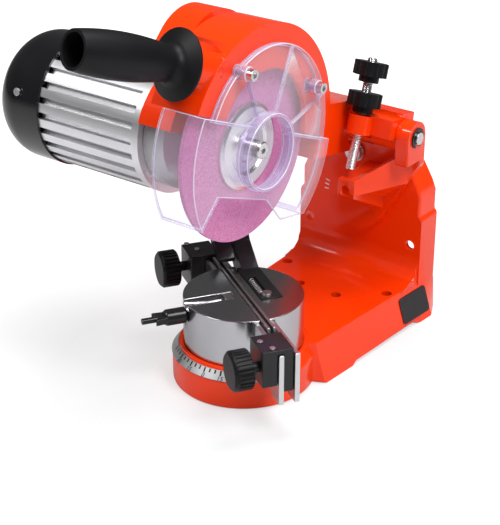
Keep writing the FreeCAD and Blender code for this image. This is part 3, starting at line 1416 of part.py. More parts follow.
def export():
    os.makedirs("parts", exist_ok=True)
    for thing in PIECES:
        thing.Shape.exportStep(os.path.join("parts", thing.Label + ".step"))
    print("%d sub-parts written" % len(PIECES))


build()
check()
export()
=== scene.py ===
"""Look of a bench grinder for saw chains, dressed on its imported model."""

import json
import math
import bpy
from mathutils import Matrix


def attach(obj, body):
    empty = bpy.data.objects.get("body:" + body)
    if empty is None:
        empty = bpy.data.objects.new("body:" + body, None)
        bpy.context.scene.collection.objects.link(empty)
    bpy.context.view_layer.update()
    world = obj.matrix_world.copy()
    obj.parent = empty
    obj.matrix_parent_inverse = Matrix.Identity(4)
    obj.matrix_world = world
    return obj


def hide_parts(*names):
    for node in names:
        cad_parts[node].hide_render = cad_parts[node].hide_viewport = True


bl_info = {
    "name": "Chain grinder look",
    "version": (1, 0, 0),
    "blender": (4, 5, 0),
    "location": "View3D > Sidebar > Grinder",
    "description": "Finishes, small detail and a plain stage for a bench chain grinder",
    "category": "Object",
}

import bmesh
import bpy
from bpy.props import FloatProperty, FloatVectorProperty, IntProperty, PointerProperty
from mathutils import Matrix, Vector
from mathutils.bvhtree import BVHTree
from mathutils.kdtree import KDTree

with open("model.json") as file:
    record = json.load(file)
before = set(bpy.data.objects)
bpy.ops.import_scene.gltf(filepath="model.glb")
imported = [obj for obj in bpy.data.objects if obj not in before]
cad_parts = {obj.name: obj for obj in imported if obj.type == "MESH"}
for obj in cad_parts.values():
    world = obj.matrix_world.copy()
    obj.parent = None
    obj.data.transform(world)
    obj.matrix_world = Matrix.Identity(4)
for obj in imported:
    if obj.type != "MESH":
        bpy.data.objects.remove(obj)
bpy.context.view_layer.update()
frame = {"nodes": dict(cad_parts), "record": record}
MM = 0.001

# Frames of the moving groups at rest, in millimetres
HINGE = (0, 146, 165)
HEAD_DIP = math.radians(-10)
WHEEL_REACH = (0, -148, 0)
VISE_SKEW = math.radians(-33)
ROD_SPOT = (21, -25, 0)
ROD_LEAN = math.radians(-8)
PIN = Matrix.Translation(HINGE)
HEAD = PIN @ Matrix.Rotation(HEAD_DIP, 4, "X")
WHEEL = HEAD @ Matrix.Translation(WHEEL_REACH)
VISE = Matrix.Rotation(VISE_SKEW, 4, "Z")
ROD = HEAD @ Matrix.Translation(ROD_SPOT) @ Matrix.Rotation(ROD_LEAN, 4, "X")

# The angle scale's sloping band, in millimetres, and the arc of its lines in degrees
BAND_FOOT = 23.0
BAND_RADIUS = 55.3
BAND_RISE = 7.0
BAND_RUN = 5.8
SCALE_ARC = 90


class GrinderFinish(bpy.types.PropertyGroup):
    """Colours of the grinder's finishes."""

    enamel: FloatVectorProperty(
        name="Enamel", description="Orange enamel on the castings", subtype="COLOR", size=3,
        default=(0.94, 0.043, 0.001), min=0, max=1)
    plastic: FloatVectorProperty(
        name="Black plastic", description="Knobs, grip and small mouldings", subtype="COLOR", size=3,
        default=(0.005, 0.005, 0.006), min=0, max=1)
    abrasive: FloatVectorProperty(
        name="Abrasive", description="Pink grit of the wheel", subtype="COLOR", size=3,
        default=(0.62, 0.17, 0.40), min=0, max=1)
    clear_tint: FloatVectorProperty(
        name="Guard tint", description="Faint violet of the clear guard", subtype="COLOR", size=3,
        default=(0.94, 0.925, 0.97), min=0, max=1)
    edge_tint: FloatVectorProperty(
        name="Guard edges", description="Pale violet of the guard's cut edges", subtype="COLOR", size=3,
        default=(0.83, 0.79, 0.92), min=0, max=1)
    # Painted highlight: a pale, mostly opaque clear finish for the guard's rounded edges, standing in for
    # glints along them.
    glint: FloatVectorProperty(
        name="Guard glints", description="Rounded corners of the guard", subtype="COLOR", size=3,
        default=(0.86, 0.83, 0.97), min=0, max=1)
    edge_round: FloatProperty(
        name="Edge round", description="Rounded edge of the castings", default=2.0 * MM, min=0,
        unit="LENGTH")


class GrinderDetail(bpy.types.PropertyGroup):
    """Sizes of the small detail."""

    tick_width: FloatProperty(
        name="Tick width", description="Width of a scale line", default=1.3 * MM, min=0, unit="LENGTH")
    short_tick: FloatProperty(
        name="Short tick", description="Length of a five degree line", default=2.9 * MM, min=0,
        unit="LENGTH")
    long_tick: FloatProperty(
        name="Long tick", description="Length of a fifteen degree line", default=4.0 * MM, min=0,
        unit="LENGTH")
    scale_zero: FloatProperty(
        name="Scale zero", description="Direction of the scale's zero", default=math.radians(-87),
        unit="ROTATION")
    thread_pitch: FloatProperty(
        name="Thread pitch", description="Pitch of the depth rod's thread", default=1.25 * MM, min=0,
        unit="LENGTH")
    wire_sides: IntProperty(
        name="Wire sides", description="Sides of a spring wire's section", default=10, min=4)


class GrinderStage(bpy.types.PropertyGroup):
    """Strength of the lights."""

    key_power: FloatProperty(
        name="Key", description="Power of the key light", default=13.0, min=0, unit="POWER")
    fill_power: FloatProperty(
        name="Fill", description="Power of the fill light", default=17.0, min=0, unit="POWER")
    top_power: FloatProperty(
        name="Top", description="Power of the top light", default=15.0, min=0, unit="POWER")
    sky: FloatProperty(
        name="Sky", description="Strength of the even light", default=0.34, min=0)
    mirrored_sky: FloatProperty(
        name="Mirrored sky", description="Even light as gloss sees it", default=0.10, min=0)


def finish():
    return bpy.context.scene.grinder_finish


def detail():
    return bpy.context.scene.grinder_detail


# Shader building

class Value:
    """A node socket that takes part in Python arithmetic."""

    def __init__(self, shader, socket):
        self.shader = shader
        self.socket = socket

    def maths(self, operation, first, second):
        return self.shader.node("ShaderNodeMath", {"operation": operation}, [first, second])

    def __add__(self, other):
        return self.maths("ADD", self, other)

    def __radd__(self, other):
        return self.maths("ADD", other, self)

    def __mul__(self, other):
        return self.maths("MULTIPLY", self, other)

    def __pow__(self, other):
        return self.maths("POWER", self, other)


class Shader:
    """One material's node tree, with a principled surface."""

    bevel_samples = 6

    def __init__(self, name):
        self.material = bpy.data.materials.new(name)
        self.material.use_nodes = True
        self.tree = self.material.node_tree
        self.surface = self.tree.nodes["Principled BSDF"]
        self.output = self.tree.nodes["Material Output"]

    def node(self, kind, settings=None, values=None, out=0):
        """A node with its settings, then its socket values or links, as one output."""
        made = self.tree.nodes.new(kind)
        for key, setting in (settings or {}).items():
            setattr(made, key, setting)
        pairs = enumerate(values) if isinstance(values, list) else (values or {}).items()
        for key, value in pairs:
            self.feed(made.inputs[key], value)
        return Value(self, made.outputs[out])

    def feed(self, socket, value):
        if isinstance(value, Value):
            self.tree.links.new(value.socket, socket)
        else:
            socket.default_value = value

    def set(self, **inputs):
        """Feed the surface's sockets, named with underscores for spaces."""
        for key, value in inputs.items():
            self.feed(self.surface.inputs[key.replace("_", " ")], value)

    def spot(self):
        return self.node("ShaderNodeTexCoord", out="Object")

    def place(self, scale=(1, 1, 1), move=(0, 0, 0)):
        return self.node("ShaderNodeMapping", {}, {"Vector": self.spot(), "Scale": scale, "Location": move})

    def reach(self, place):
        """Distance of a placed point from its origin."""
        return self.node("ShaderNodeVectorMath", {"operation": "LENGTH"}, [place], out="Value")

    def noise(self, scale, detail, rough=0.5, where=None):
        return self.node("ShaderNodeTexNoise", {}, {
            "Vector": where or self.spot(), "Scale": scale, "Detail": detail, "Roughness": rough})

    def blend(self, factor, first, second):
        """One colour fading into another; sockets 6 and 7 of the node hold its colours."""
        return self.node("ShaderNodeMix", {"data_type": "RGBA"}, {0: factor, 6: first, 7: second}, out=2)

    def bump(self, height, strength, distance, radius=0.0):
        """Relief from a height, over edges that shade as if rounded to a radius."""
        values = {"Height": height, "Strength": strength, "Distance": distance}
        if radius:
            settings = {"samples": self.bevel_samples}
            values["Normal"] = self.node("ShaderNodeBevel", settings, {"Radius": radius})
        return self.node("ShaderNodeBump", {}, values)

    def mix(self, factor, first, second):
        """Show a mix of two shader nodes as the material."""
        values = {0: factor, 1: Value(self, first.outputs[0]), 2: Value(self, second.outputs[0])}
        self.feed(self.output.inputs["Surface"], self.node("ShaderNodeMixShader", {}, values))


def shade(colour, factor):
    """A colour made darker or lighter, with full alpha."""
    return tuple(min(1.0, c * factor) for c in colour) + (1.0,)


MADE = {}


def once(make):
    """Make a named finish at its first use, and hand out the same material after that."""
    def hand_out(name, **values):
        if name not in MADE:
            shader = Shader(name)
            make(shader, **values)
            MADE[name] = shader.material
        return MADE[name]
    return hand_out


@once
def enamelled(s, colour):
    """Thick glossy enamel with a slight flow texture."""
    cloud = s.noise(scale=14, detail=3)
    peel = s.noise(scale=420, detail=2)
    gloss = s.noise(scale=60, detail=3)
    s.set(
        Base_Color=s.blend(cloud, shade(colour, 0.90), shade(colour, 1.06)),
        Roughness=0.17 + gloss * 0.08,
        Normal=s.bump(peel, strength=0.08, distance=0.2 * MM),
        Specular_IOR_Level=0.2,
        Coat_Weight=0.35,
        Coat_Roughness=0.04,
    )


@once
def bright(s, colour, rough, stretch, bump, spread=0.16):
    """Bare metal with fine marks drawn out along one way."""
    marks = s.noise(scale=60, detail=5, rough=0.6, where=s.place(scale=stretch))
    patch = s.noise(scale=35, detail=3)
    s.set(
        Base_Color=s.blend(patch, shade(colour, 0.90), shade(colour, 1.06)),
        Roughness=(rough - spread / 2) + marks * spread,
        Metallic=1.0,
        Normal=s.bump(marks, strength=bump, distance=0.1 * MM, radius=0.4 * MM),
    )


@once
def turned(s, colour, rough, centre, across):
    """Lathe-turned metal whose fine rings run round an axis through a point."""
    rings_per_metre = 2600.0
    spread = 0.14
    spot = s.place(scale=across, move=tuple(-c * a for c, a in zip(centre, across)))
    rings = s.node("ShaderNodeTexNoise", {"noise_dimensions": "1D"}, {
        "W": s.reach(spot) * rings_per_metre, "Scale": 1.0, "Detail": 3.0})
    patch = s.noise(scale=26, detail=3)
    s.set(
        Base_Color=s.blend(patch, shade(colour, 0.90), shade(colour, 1.05)),
        Roughness=(rough - spread / 2) + rings * spread,
        Metallic=1.0,
        Normal=s.bump(rings, strength=0.16, distance=0.05 * MM, radius=0.5 * MM),
    )


@once
def moulded(s, colour, rough, grain, strength, coat=0.0):
    """Moulded plastic with a fine spark grain."""
    spread = 0.12
    grit = s.noise(scale=grain, detail=2)
    wear = s.noise(scale=38, detail=4)
    s.set(
        Base_Color=s.blend(wear, shade(colour, 0.8), shade(colour, 1.5)),
        Roughness=(rough - spread / 2) + wear * spread,
        Normal=s.bump(grit, strength=strength, distance=0.1 * MM, radius=0.5 * MM),
        Specular_IOR_Level=0.2,
        Coat_Weight=coat,
    )


@once
def gritty(s, colour, pale):
    """Open grit with paler and darker grains."""
    cells = s.node("ShaderNodeTexVoronoi", {}, {"Vector": s.spot(), "Scale": 900.0}, out="Color")
    grain = s.node("ShaderNodeSeparateColor", {}, [cells])
    pits = s.noise(scale=1500, detail=3)
    cloud = s.noise(scale=30, detail=3)
    base = s.blend(cloud, shade(colour, 0.94), shade(colour, 1.05))
    s.set(
        Base_Color=s.blend(grain * 0.42, base, shade(pale, 1.0)),
        Roughness=0.78 + pits * 0.2,
        Normal=s.bump(pits + grain, strength=0.35, distance=0.2 * MM),
    )


@once
def clear(s, tint, body, rough):
    """Clear moulding: see-through, with gloss that grows at a glance."""
    most = 0.75
    flow = s.noise(scale=40, detail=2)
    s.set(Base_Color=s.blend(flow, shade(tint, 0.94), shade(tint, 1.0)), Roughness=rough, IOR=1.55)
    through = s.tree.nodes.new("ShaderNodeBsdfTransparent")
    through.inputs["Color"].default_value = shade(tint, 1.04)
    rim = s.node("ShaderNodeLayerWeight", {}, {"Blend": 0.32}, out="Facing")
    s.mix(body + (rim ** 2.2) * (most - body), through, s.surface)


@once
def ink(s, colour):
    """Printed line or figure."""
    wear = s.noise(scale=300, detail=3)
    s.set(
        Base_Color=s.blend(wear, shade(colour, 0.85), shade(colour, 1.1)),
        Roughness=0.42 + wear * 0.1,
    )


def enamel():
    return enamelled("orange_enamel_coat", colour=finish().enamel)


def steel():
    return bright("zinc_plate", colour=(0.72, 0.72, 0.73), rough=0.27, stretch=(1, 1, 1), bump=0.04)


def black_steel():
    return moulded(
        "black_oxide", colour=(0.012, 0.012, 0.013), rough=0.30, grain=700, strength=0.06, coat=0.25)


def knob_plastic():
    return moulded("knob_plastic", colour=finish().plastic, rough=0.40, grain=1300, strength=0.12)


# Mesh building

def dress(material, *nodes):
    """Give kept CAD nodes their finish."""
    for node in nodes:
        slots = frame["nodes"][node].data.materials
        slots.clear()
        slots.append(material)


def body_of(node):
    for body, members in frame["record"]["behaviour"]["bodies"].items():
        if node in members:
            return body
    raise RuntimeError("no body holds " + node)


def slot_of(node):
    for entry in frame["record"]["subparts"]:
        if entry["node"] == node:
            return entry["material_slot"]
    raise RuntimeError("no slot for " + node)


def add_object(name, data):
    made = bpy.data.objects.new(name, data)
    bpy.context.scene.collection.objects.link(made)
    return made


def new_piece(name, mesh, *materials):
    for material in materials:
        mesh.materials.append(material)
    return add_object(name, mesh)


def settle(piece, body, slot, *replaced):
    """Make a finished piece move with its body and stand for its nodes."""
    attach(piece, body)
    if replaced:
        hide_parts(*replaced)


def evaluated_mesh(holder):
    """An object's mesh with its modifiers applied."""
    graph = bpy.context.evaluated_depsgraph_get()
    return bpy.data.meshes.new_from_object(holder.evaluated_get(graph))


def mesh_from(bm, name):
    mesh = bpy.data.meshes.new(name)
    bm.to_mesh(mesh)
    bm.free()
    return mesh


def smooth(mesh, degrees):
    mesh.polygons.foreach_set("use_smooth", [True] * len(mesh.polygons))
    mesh.set_sharp_from_angle(angle=math.radians(degrees))


def even_shading(piece):
    """Let large flat faces rule the shading of the rounded edges beside them."""
    modifier = piece.modifiers.new("even", "WEIGHTED_NORMAL")
    modifier.keep_sharp = True
    mesh = evaluated_mesh(piece)
    piece.modifiers.remove(modifier)
    piece.data = mesh


def merged_copy(node):
    """A node's mesh as one joined bmesh with its flat faces whole."""
    bm = bmesh.new()
    bm.from_mesh(frame["nodes"][node].data)
    bmesh.ops.remove_doubles(bm, verts=bm.verts, dist=0.002 * MM)
    bmesh.ops.dissolve_limit(bm, angle_limit=math.radians(0.6), verts=bm.verts, edges=bm.edges)
    return bm


def point_tree(points):
    tree = KDTree(max(1, len(points)))
    for index, point in enumerate(points):
        tree.insert(point, index)
    tree.balance()
    return tree


def near_edge(tree, edge, reach):
    """Whether a point of the tree lies close to an edge."""
    start, end = (v.co for v in edge.verts)
    steps = max(1, int((end - start).length / reach))
    return any(tree.find(start.lerp(end, k / steps))[2] < reach for k in range(steps + 1))


def bevel_faults(bm, shell, width):
    """Points where a rounded form strays from the shell it came from."""
    proud = 0.02 * MM
    sunk = 0.8 * width
    least_area = 1e-9
    least_agreement = 0.2
    faults = []
    for vertex in bm.verts:
        spot, normal, _, gap = shell.find_nearest(vertex.co)
        if gap > sunk or (gap > proud and (vertex.co - spot).dot(normal) > proud):
            faults.append(vertex.co.copy())
    for face in bm.faces:
        if face.calc_area() < least_area:
            continue
        centre = face.calc_center_median()
        _, normal, _, gap = shell.find_nearest(centre)
        if gap < width and face.normal.dot(normal) < least_agreement:
            faults.append(centre)
    return faults


def rounded_copy(node, width, segments, shortest=0.0, paint=None, material=-1):
    """A copy of a node with its sharp outward edges rounded wherever that leaves the form sound."""
    tries = 6
    faults_borne = 3
    sharp = math.radians(38)
    berth = 2.5 * width
    avoid = []
    for _ in range(tries):
        bm = merged_copy(node)
        if paint:
            paint(bm)
        shell = BVHTree.FromBMesh(bm)
        tree = point_tree(avoid)
        edges = [
            e for e in bm.edges
            if len(e.link_faces) == 2 and e.calc_face_angle_signed(0) > sharp
            and e.calc_length() > shortest
            and not (avoid and near_edge(tree, e, berth))
        ]
        bmesh.ops.bevel(
            bm, geom=edges, offset=width, offset_type="OFFSET", segments=segments, profile=0.5,
            affect="EDGES", clamp_overlap=False, material=material, loop_slide=True)
        faults = bevel_faults(bm, shell, width)
        if len(faults) < faults_borne:
            return bm
        bm.free()
        avoid += faults
    return merged_copy(node)


def stand_in(name, node, bm, *materials, crease=None, even=False):
    """A new piece from a bmesh that stands for one node, smooth up to a crease angle in degrees."""
    piece = new_piece(name, mesh_from(bm, name), *materials)
    if crease:
        smooth(piece.data, crease)
    if even:
        even_shading(piece)
    settle(piece, body_of(node), slot_of(node), node)


def soften(material, width, *nodes):
    """Nodes stood for by copies with softened edges, in one finish."""
    for node in nodes:
        bm = rounded_copy(node, width, segments=2, shortest=2 * width)
        stand_in(node + "_soft", node, bm, material, crease=35, even=True)


def moved(points, place):
    """Points in millimetres carried into place, in metres."""
    return [(place @ Vector(p)) * MM for p in points]


def ring(count):
    """Equal angles once round."""
    return [2 * math.pi * k / count for k in range(count)]


def skin_mesh(name, rows):
    """Skin over rows of points, each row a closed ring, with flat end caps."""
    bm = bmesh.new()
    rings = [[bm.verts.new(p) for p in row] for row in rows]
    count = len(rings[0])
    for lower, upper in zip(rings, rings[1:]):
        for k in range(count):
            after = (k + 1) % count
            bm.faces.new((lower[k], lower[after], upper[after], upper[k]))
    bm.faces.new(list(reversed(rings[0])))
    bm.faces.new(rings[-1])
    bmesh.ops.recalc_face_normals(bm, faces=bm.faces)
    return mesh_from(bm, name)


def tube_mesh(name, path, radius, sides):
    """A round wire along a line of points."""
    rows = []
    side = None
    for i, p in enumerate(path):
        ahead = (path[min(i + 1, len(path) - 1)] - path[max(i - 1, 0)]).normalized()
        if side is None:
            side = ahead.orthogonal().normalized()
        side = (side - ahead * side.dot(ahead)).normalized()
        other = ahead.cross(side)
        rows.append([p + (side * math.cos(a) + other * math.sin(a)) * radius for a in ring(sides)])
    return skin_mesh(name, rows)


# Pieces

class GRINDER_OT_castings(bpy.types.Operator):
    """Enamelled base, tilt bracket and head housing"""
    bl_idname = "grinder.castings"
    bl_label = "Castings"

    def execute(self, context):
        for node in ("base_casting", "tilt_bracket", "head_casting"):
            bm = rounded_copy(node, finish().edge_round, segments=3, shortest=2.2 * MM)
            stand_in(node + "_coat", node, bm, enamel(), crease=32, even=True)
        return {"FINISHED"}


class GRINDER_OT_motor(bpy.types.Operator):
    """Finned motor, its shields, black end cap and switch"""
    bl_idname = "grinder.motor"
    bl_label = "Motor"

    def execute(self, context):
        fins = bright(
            "extruded_aluminium", colour=(0.86, 0.86, 0.88), rough=0.40, stretch=(0.6, 22, 22), bump=0.10)
        shield = bright(
            "cast_shield", colour=(0.50, 0.50, 0.51), rough=0.46, stretch=(4, 4, 4), bump=0.06)
        cap = moulded(
            "cap_gloss", colour=(0.006, 0.006, 0.007), rough=0.16, grain=500, strength=0.03, coat=0.6)
        rocker = moulded(
            "rocker_gloss", colour=(0.012, 0.012, 0.013), rough=0.2, grain=500, strength=0.02, coat=0.5)
        iron = bright("core_iron", colour=(0.30, 0.27, 0.25), rough=0.5, stretch=(60, 1, 1), bump=0.2)
        dress(fins, "motor_body")
        dress(shield, "front_shield", "rear_shield")
        dress(cap, "motor_end_cap")
        dress(knob_plastic(), "cable_gland", "switch_bezel", "cooling_fan")
        dress(rocker, "switch_rocker")
        dress(iron, "stator", "rotor")
        dress(steel(), "front_bearing", "rear_bearing", "spindle_shaft", "cap_screw")
        return {"FINISHED"}


class GRINDER_OT_wheel(bpy.types.Operator):
    """Pink wheel with its flanges and hub screw"""
    bl_idname = "grinder.wheel"
    bl_label = "Wheel"

    def execute(self, context):
        grit = gritty("pink_grit", colour=finish().abrasive, pale=(0.86, 0.50, 0.70))
        hub = tuple(WHEEL.translation * MM)
        rings = turned(
            "turned_flange", colour=(0.78, 0.78, 0.79), rough=0.28, centre=hub, across=(0, 1, 1))
        dress(grit, "grinding_wheel")
        dress(rings, "inner_flange", "outer_flange")
        dress(steel(), "hub_screw")
        return {"FINISHED"}


class GRINDER_OT_guard(bpy.types.Operator):
    """Clear window and skirt with pale violet cut edges and painted highlights along their rounded edges"""
    bl_idname = "grinder.guard"
    bl_label = "Clear guard"

    def execute(self, context):
        pane = clear("clear_pane", tint=finish().clear_tint, body=0.08, rough=0.04)
        edge = clear("clear_edge", tint=finish().edge_tint, body=0.24, rough=0.07)
        # Painted highlight: the rounded edges (material 2) take real gloss plus a pale, mostly opaque
        # colour that paints a glint line.
        glint = clear("clear_glint", tint=finish().glint, body=0.72, rough=0.05)
        for node, has_wall in (("guard_window", False), ("guard_skirt", True)):
            bm = rounded_copy(
                node, width=0.6 * MM, segments=2, paint=self.painter(has_wall), material=2)
            stand_in(node + "_clear", node, bm, pane, edge, glint, crease=35)
        dress(steel(), "guard_screws")
        return {"FINISHED"}

    def painter(self, has_wall):
        """Sort the faces of a guard piece into see-through panes and cut edges."""
        front_from = 14
        flat_least = 0.9
        wall_least = 0.93
        back = WHEEL.inverted()

        def paint(bm):
            for face in bm.faces:
                centre = back @ (face.calc_center_median() / MM)
                facing = (back.to_3x3() @ face.normal).normalized()
                outward = Vector((0, centre.y, centre.z)).normalized()
                flat = abs(facing.x) > flat_least and centre.x > front_from
                wall = has_wall and abs(facing.dot(outward)) > wall_least
                face.material_index = 0 if flat or wall else 1

        return paint


class GRINDER_OT_controls(bpy.types.Operator):
    """Grip, knobs and clamp lever"""
    bl_idname = "grinder.controls"
    bl_label = "Grip and knobs"

    def execute(self, context):
        rubber = moulded(
            "grip_rubber", colour=finish().plastic, rough=0.46, grain=900, strength=0.16)
        dress(rubber, "handle_grip")
        soften(knob_plastic(), 0.5 * MM, "depth_knob", "lock_knob", "left_thumb_knob", "right_thumb_knob")
        soften(black_steel(), 0.6 * MM, "clamp_lever")
        dress(black_steel(), "left_spindle", "right_spindle")
        return {"FINISHED"}


class GRINDER_OT_vise(bpy.types.Operator):
    """Ground vise block with its rails, plates and chain stop"""
    bl_idname = "grinder.vise"
    bl_label = "Vise"

    def execute(self, context):
        block = bright(
            "ground_block", colour=(0.52, 0.52, 0.54), rough=0.22, stretch=(3, 3, 0.4), bump=0.0,
            spread=0.02)
        ground = bright(
            "ground_stock", colour=(0.66, 0.66, 0.67), rough=0.30, stretch=(2, 2, 30), bump=0.06)
        soften(block, 0.6 * MM, "vise_block")
        soften(ground, 0.4 * MM, "front_rail", "rear_rail", "front_plate", "rear_plate", "clamp_jaw")
        soften(black_steel(), 0.8 * MM, "left_end_block", "right_end_block", "stop_pawl")
        dress(black_steel(), "stop_bracket")
        dress(steel(), "stop_screw", "end_block_screws", "pawl_pin", "swivel_pin")
        return {"FINISHED"}


class GRINDER_OT_hardware(bpy.types.Operator):
    """Pins, bolts, pointer and blank side plate"""
    bl_idname = "grinder.hardware"
    bl_label = "Hardware"

    def execute(self, context):
        dress(
            steel(), "tilt_pointer", "pointer_screw", "tilt_pivot_bolt", "tilt_clamp_bolt",
            "tilt_clamp_washer", "tilt_clamp_nut", "hinge_pin", "handle_bolt")
        dress(black_steel(), "pin_clips")
        self.blank_plate("side_badge")
        return {"FINISHED"}

    def blank_plate(self, node):
        """The side plate with its corners rounded off."""
        corner = 2.6 * MM
        longest = 1.4 * MM
        least_angle = 0.5
        bm = merged_copy(node)
        corners = [
            e for e in bm.edges
            if e.calc_length() < longest and e.calc_face_angle_signed(0) > least_angle
        ]
        bmesh.ops.bevel(bm, geom=corners, offset=corner, segments=5, profile=0.5, affect="EDGES")
        dark = bright(
            "dark_plate", colour=(0.075, 0.07, 0.075), rough=0.42, stretch=(1, 40, 1), bump=0.02)
        stand_in("blank_plate", node, bm, dark)


class GRINDER_OT_rod(bpy.types.Operator):
    """Threaded depth rod"""
    bl_idname = "grinder.rod"
    bl_label = "Depth rod"

    def execute(self, context):
        pitch = detail().thread_pitch / MM
        foot, top = -31.0, 58.0
        outer, groove = 3.98, 0.4
        foot_chamfer, top_chamfer = 0.28, 0.2
        sides = 40
        rows_per_turn = 8
        count = int((top - foot) / pitch * rows_per_turn)
        rows = []
        for i in range(count + 1):
            z = foot + (top - foot) * i / count
            taper = 1.0 - max(0.0, foot_chamfer * (1 - (z - foot)), top_chamfer * (1 - (top - z)))
            row = []
            for angle in ring(sides):
                wave = 0.5 - 0.5 * math.cos(2 * math.pi * z / pitch - angle)
                radius = (outer - groove * wave) * taper
                row.append((radius * math.cos(angle), radius * math.sin(angle), z))
            rows.append(moved(row, ROD))
        mesh = skin_mesh("depth_rod_thread", rows)
        smooth(mesh, degrees=60)
        settle(new_piece("depth_rod_thread", mesh, steel()), "depth_stop", "zinc_steel", "depth_rod")
        return {"FINISHED"}


class GRINDER_OT_springs(bpy.types.Operator):
    """Head spring on the hinge pin and chain stop spring"""
    bl_idname = "grinder.springs"
    bl_label = "Springs"

    def execute(self, context):
        on_pin = PIN @ Matrix.Translation((0.2, 0, 0))
        on_stop = VISE @ Matrix.Translation((-20, 13.7, 67.8))
        self.coil("head_spring", "tilt_frame", on_pin, radius=6.6, wire=2.4, pitch=3.6, turns=6)
        self.coil("stop_spring", "vise", on_stop, radius=2.6, wire=0.8, pitch=25 / 9, turns=9)
        return {"FINISHED"}

    def coil(self, node, body, place, radius, wire, pitch, turns):
        """One unbroken wire with a short straight leg at each end."""
        per_turn = 28
        path = [Vector((0, radius, -wire))]
        for i in range(turns * per_turn + 1):
            angle = 2 * math.pi * i / per_turn
            path.append(Vector((pitch * i / per_turn, radius * math.cos(angle), radius * math.sin(angle))))
        path.append(path[-1] + Vector((0, 0, wire)))
        name = node + "_wire"
        mesh = tube_mesh(name, moved(path, place), wire / 2 * MM, detail().wire_sides)
        smooth(mesh, degrees=60)
        drawn = bright("drawn_wire", colour=(0.55, 0.55, 0.56), rough=0.3, stretch=(1, 1, 1), bump=0.03)
        settle(new_piece(name, mesh, drawn), body, "spring_steel", node)


def tick_tree():
    """Lines set at equal angles round an axis, on a sloping band."""
    tree = bpy.data.node_groups.new("Scale lines", "GeometryNodeTree")
    face = tree.interface
    face.new_socket("Count", in_out="INPUT", socket_type="NodeSocketInt")
    for name in ("Step", "Start", "Width", "Length", "Height", "Slope", "Radius", "Level"):
        face.new_socket(name, in_out="INPUT", socket_type="NodeSocketFloat")
    face.new_socket("Ink", in_out="INPUT", socket_type="NodeSocketMaterial")
    face.new_socket("Geometry", in_out="OUTPUT", socket_type="NodeSocketGeometry")
    given = tree.nodes.new("NodeGroupInput").outputs

    def node(kind, **links):
        """A node with its links, by the names of its sockets."""
        made = tree.nodes.new(kind)
        for key, source in links.items():
            tree.links.new(source, made.inputs[key])
        return made

    size = node("ShaderNodeCombineXYZ", X=given["Width"], Y=given["Length"], Z=given["Height"])
    bar = node("GeometryNodeMeshCube", Size=size.outputs[0])
    lean = node("ShaderNodeCombineXYZ", X=given["Slope"])
    away = node("ShaderNodeCombineXYZ", Y=given["Radius"], Z=given["Level"])
    shift = node(
        "GeometryNodeTransform", Geometry=bar.outputs["Mesh"], Translation=away.outputs[0],
        Rotation=lean.outputs[0])
    line = node("GeometryNodeMeshLine", Count=given["Count"])
    line.inputs["Offset"].default_value = (0, 0, 0)
    index = node("GeometryNodeInputIndex")
    turn = node("ShaderNodeMath")
    turn.operation = "MULTIPLY_ADD"
    for socket, source in zip(turn.inputs, (index.outputs[0], given["Step"], given["Start"])):
        tree.links.new(source, socket)
    spin = node("ShaderNodeCombineXYZ", Z=turn.outputs[0])
    copies = node(
        "GeometryNodeInstanceOnPoints", Points=line.outputs["Mesh"], Instance=shift.outputs["Geometry"],
        Rotation=spin.outputs[0])
    real = node("GeometryNodeRealizeInstances", Geometry=copies.outputs["Instances"])
    paint = node("GeometryNodeSetMaterial", Geometry=real.outputs["Geometry"], Material=given["Ink"])
    node("NodeGroupOutput", Geometry=paint.outputs["Geometry"])
    return tree


def ticks(name, place, **inputs):
    """One plain mesh of lines from the tree, carried into place."""
    tree = bpy.data.node_groups.get("Scale lines") or tick_tree()
    holder = add_object(name + "_rule", bpy.data.meshes.new(name + "_rule"))
    modifier = holder.modifiers.new("lines", "NODES")
    modifier.node_group = tree
    named = {item.name: item.identifier for item in tree.interface.items_tree if item.in_out == "INPUT"}
    for key, value in inputs.items():
        modifier[named[key]] = value
    mesh = evaluated_mesh(holder)
    bpy.data.objects.remove(holder)
    mesh.transform(place)
    return new_piece(name, mesh)


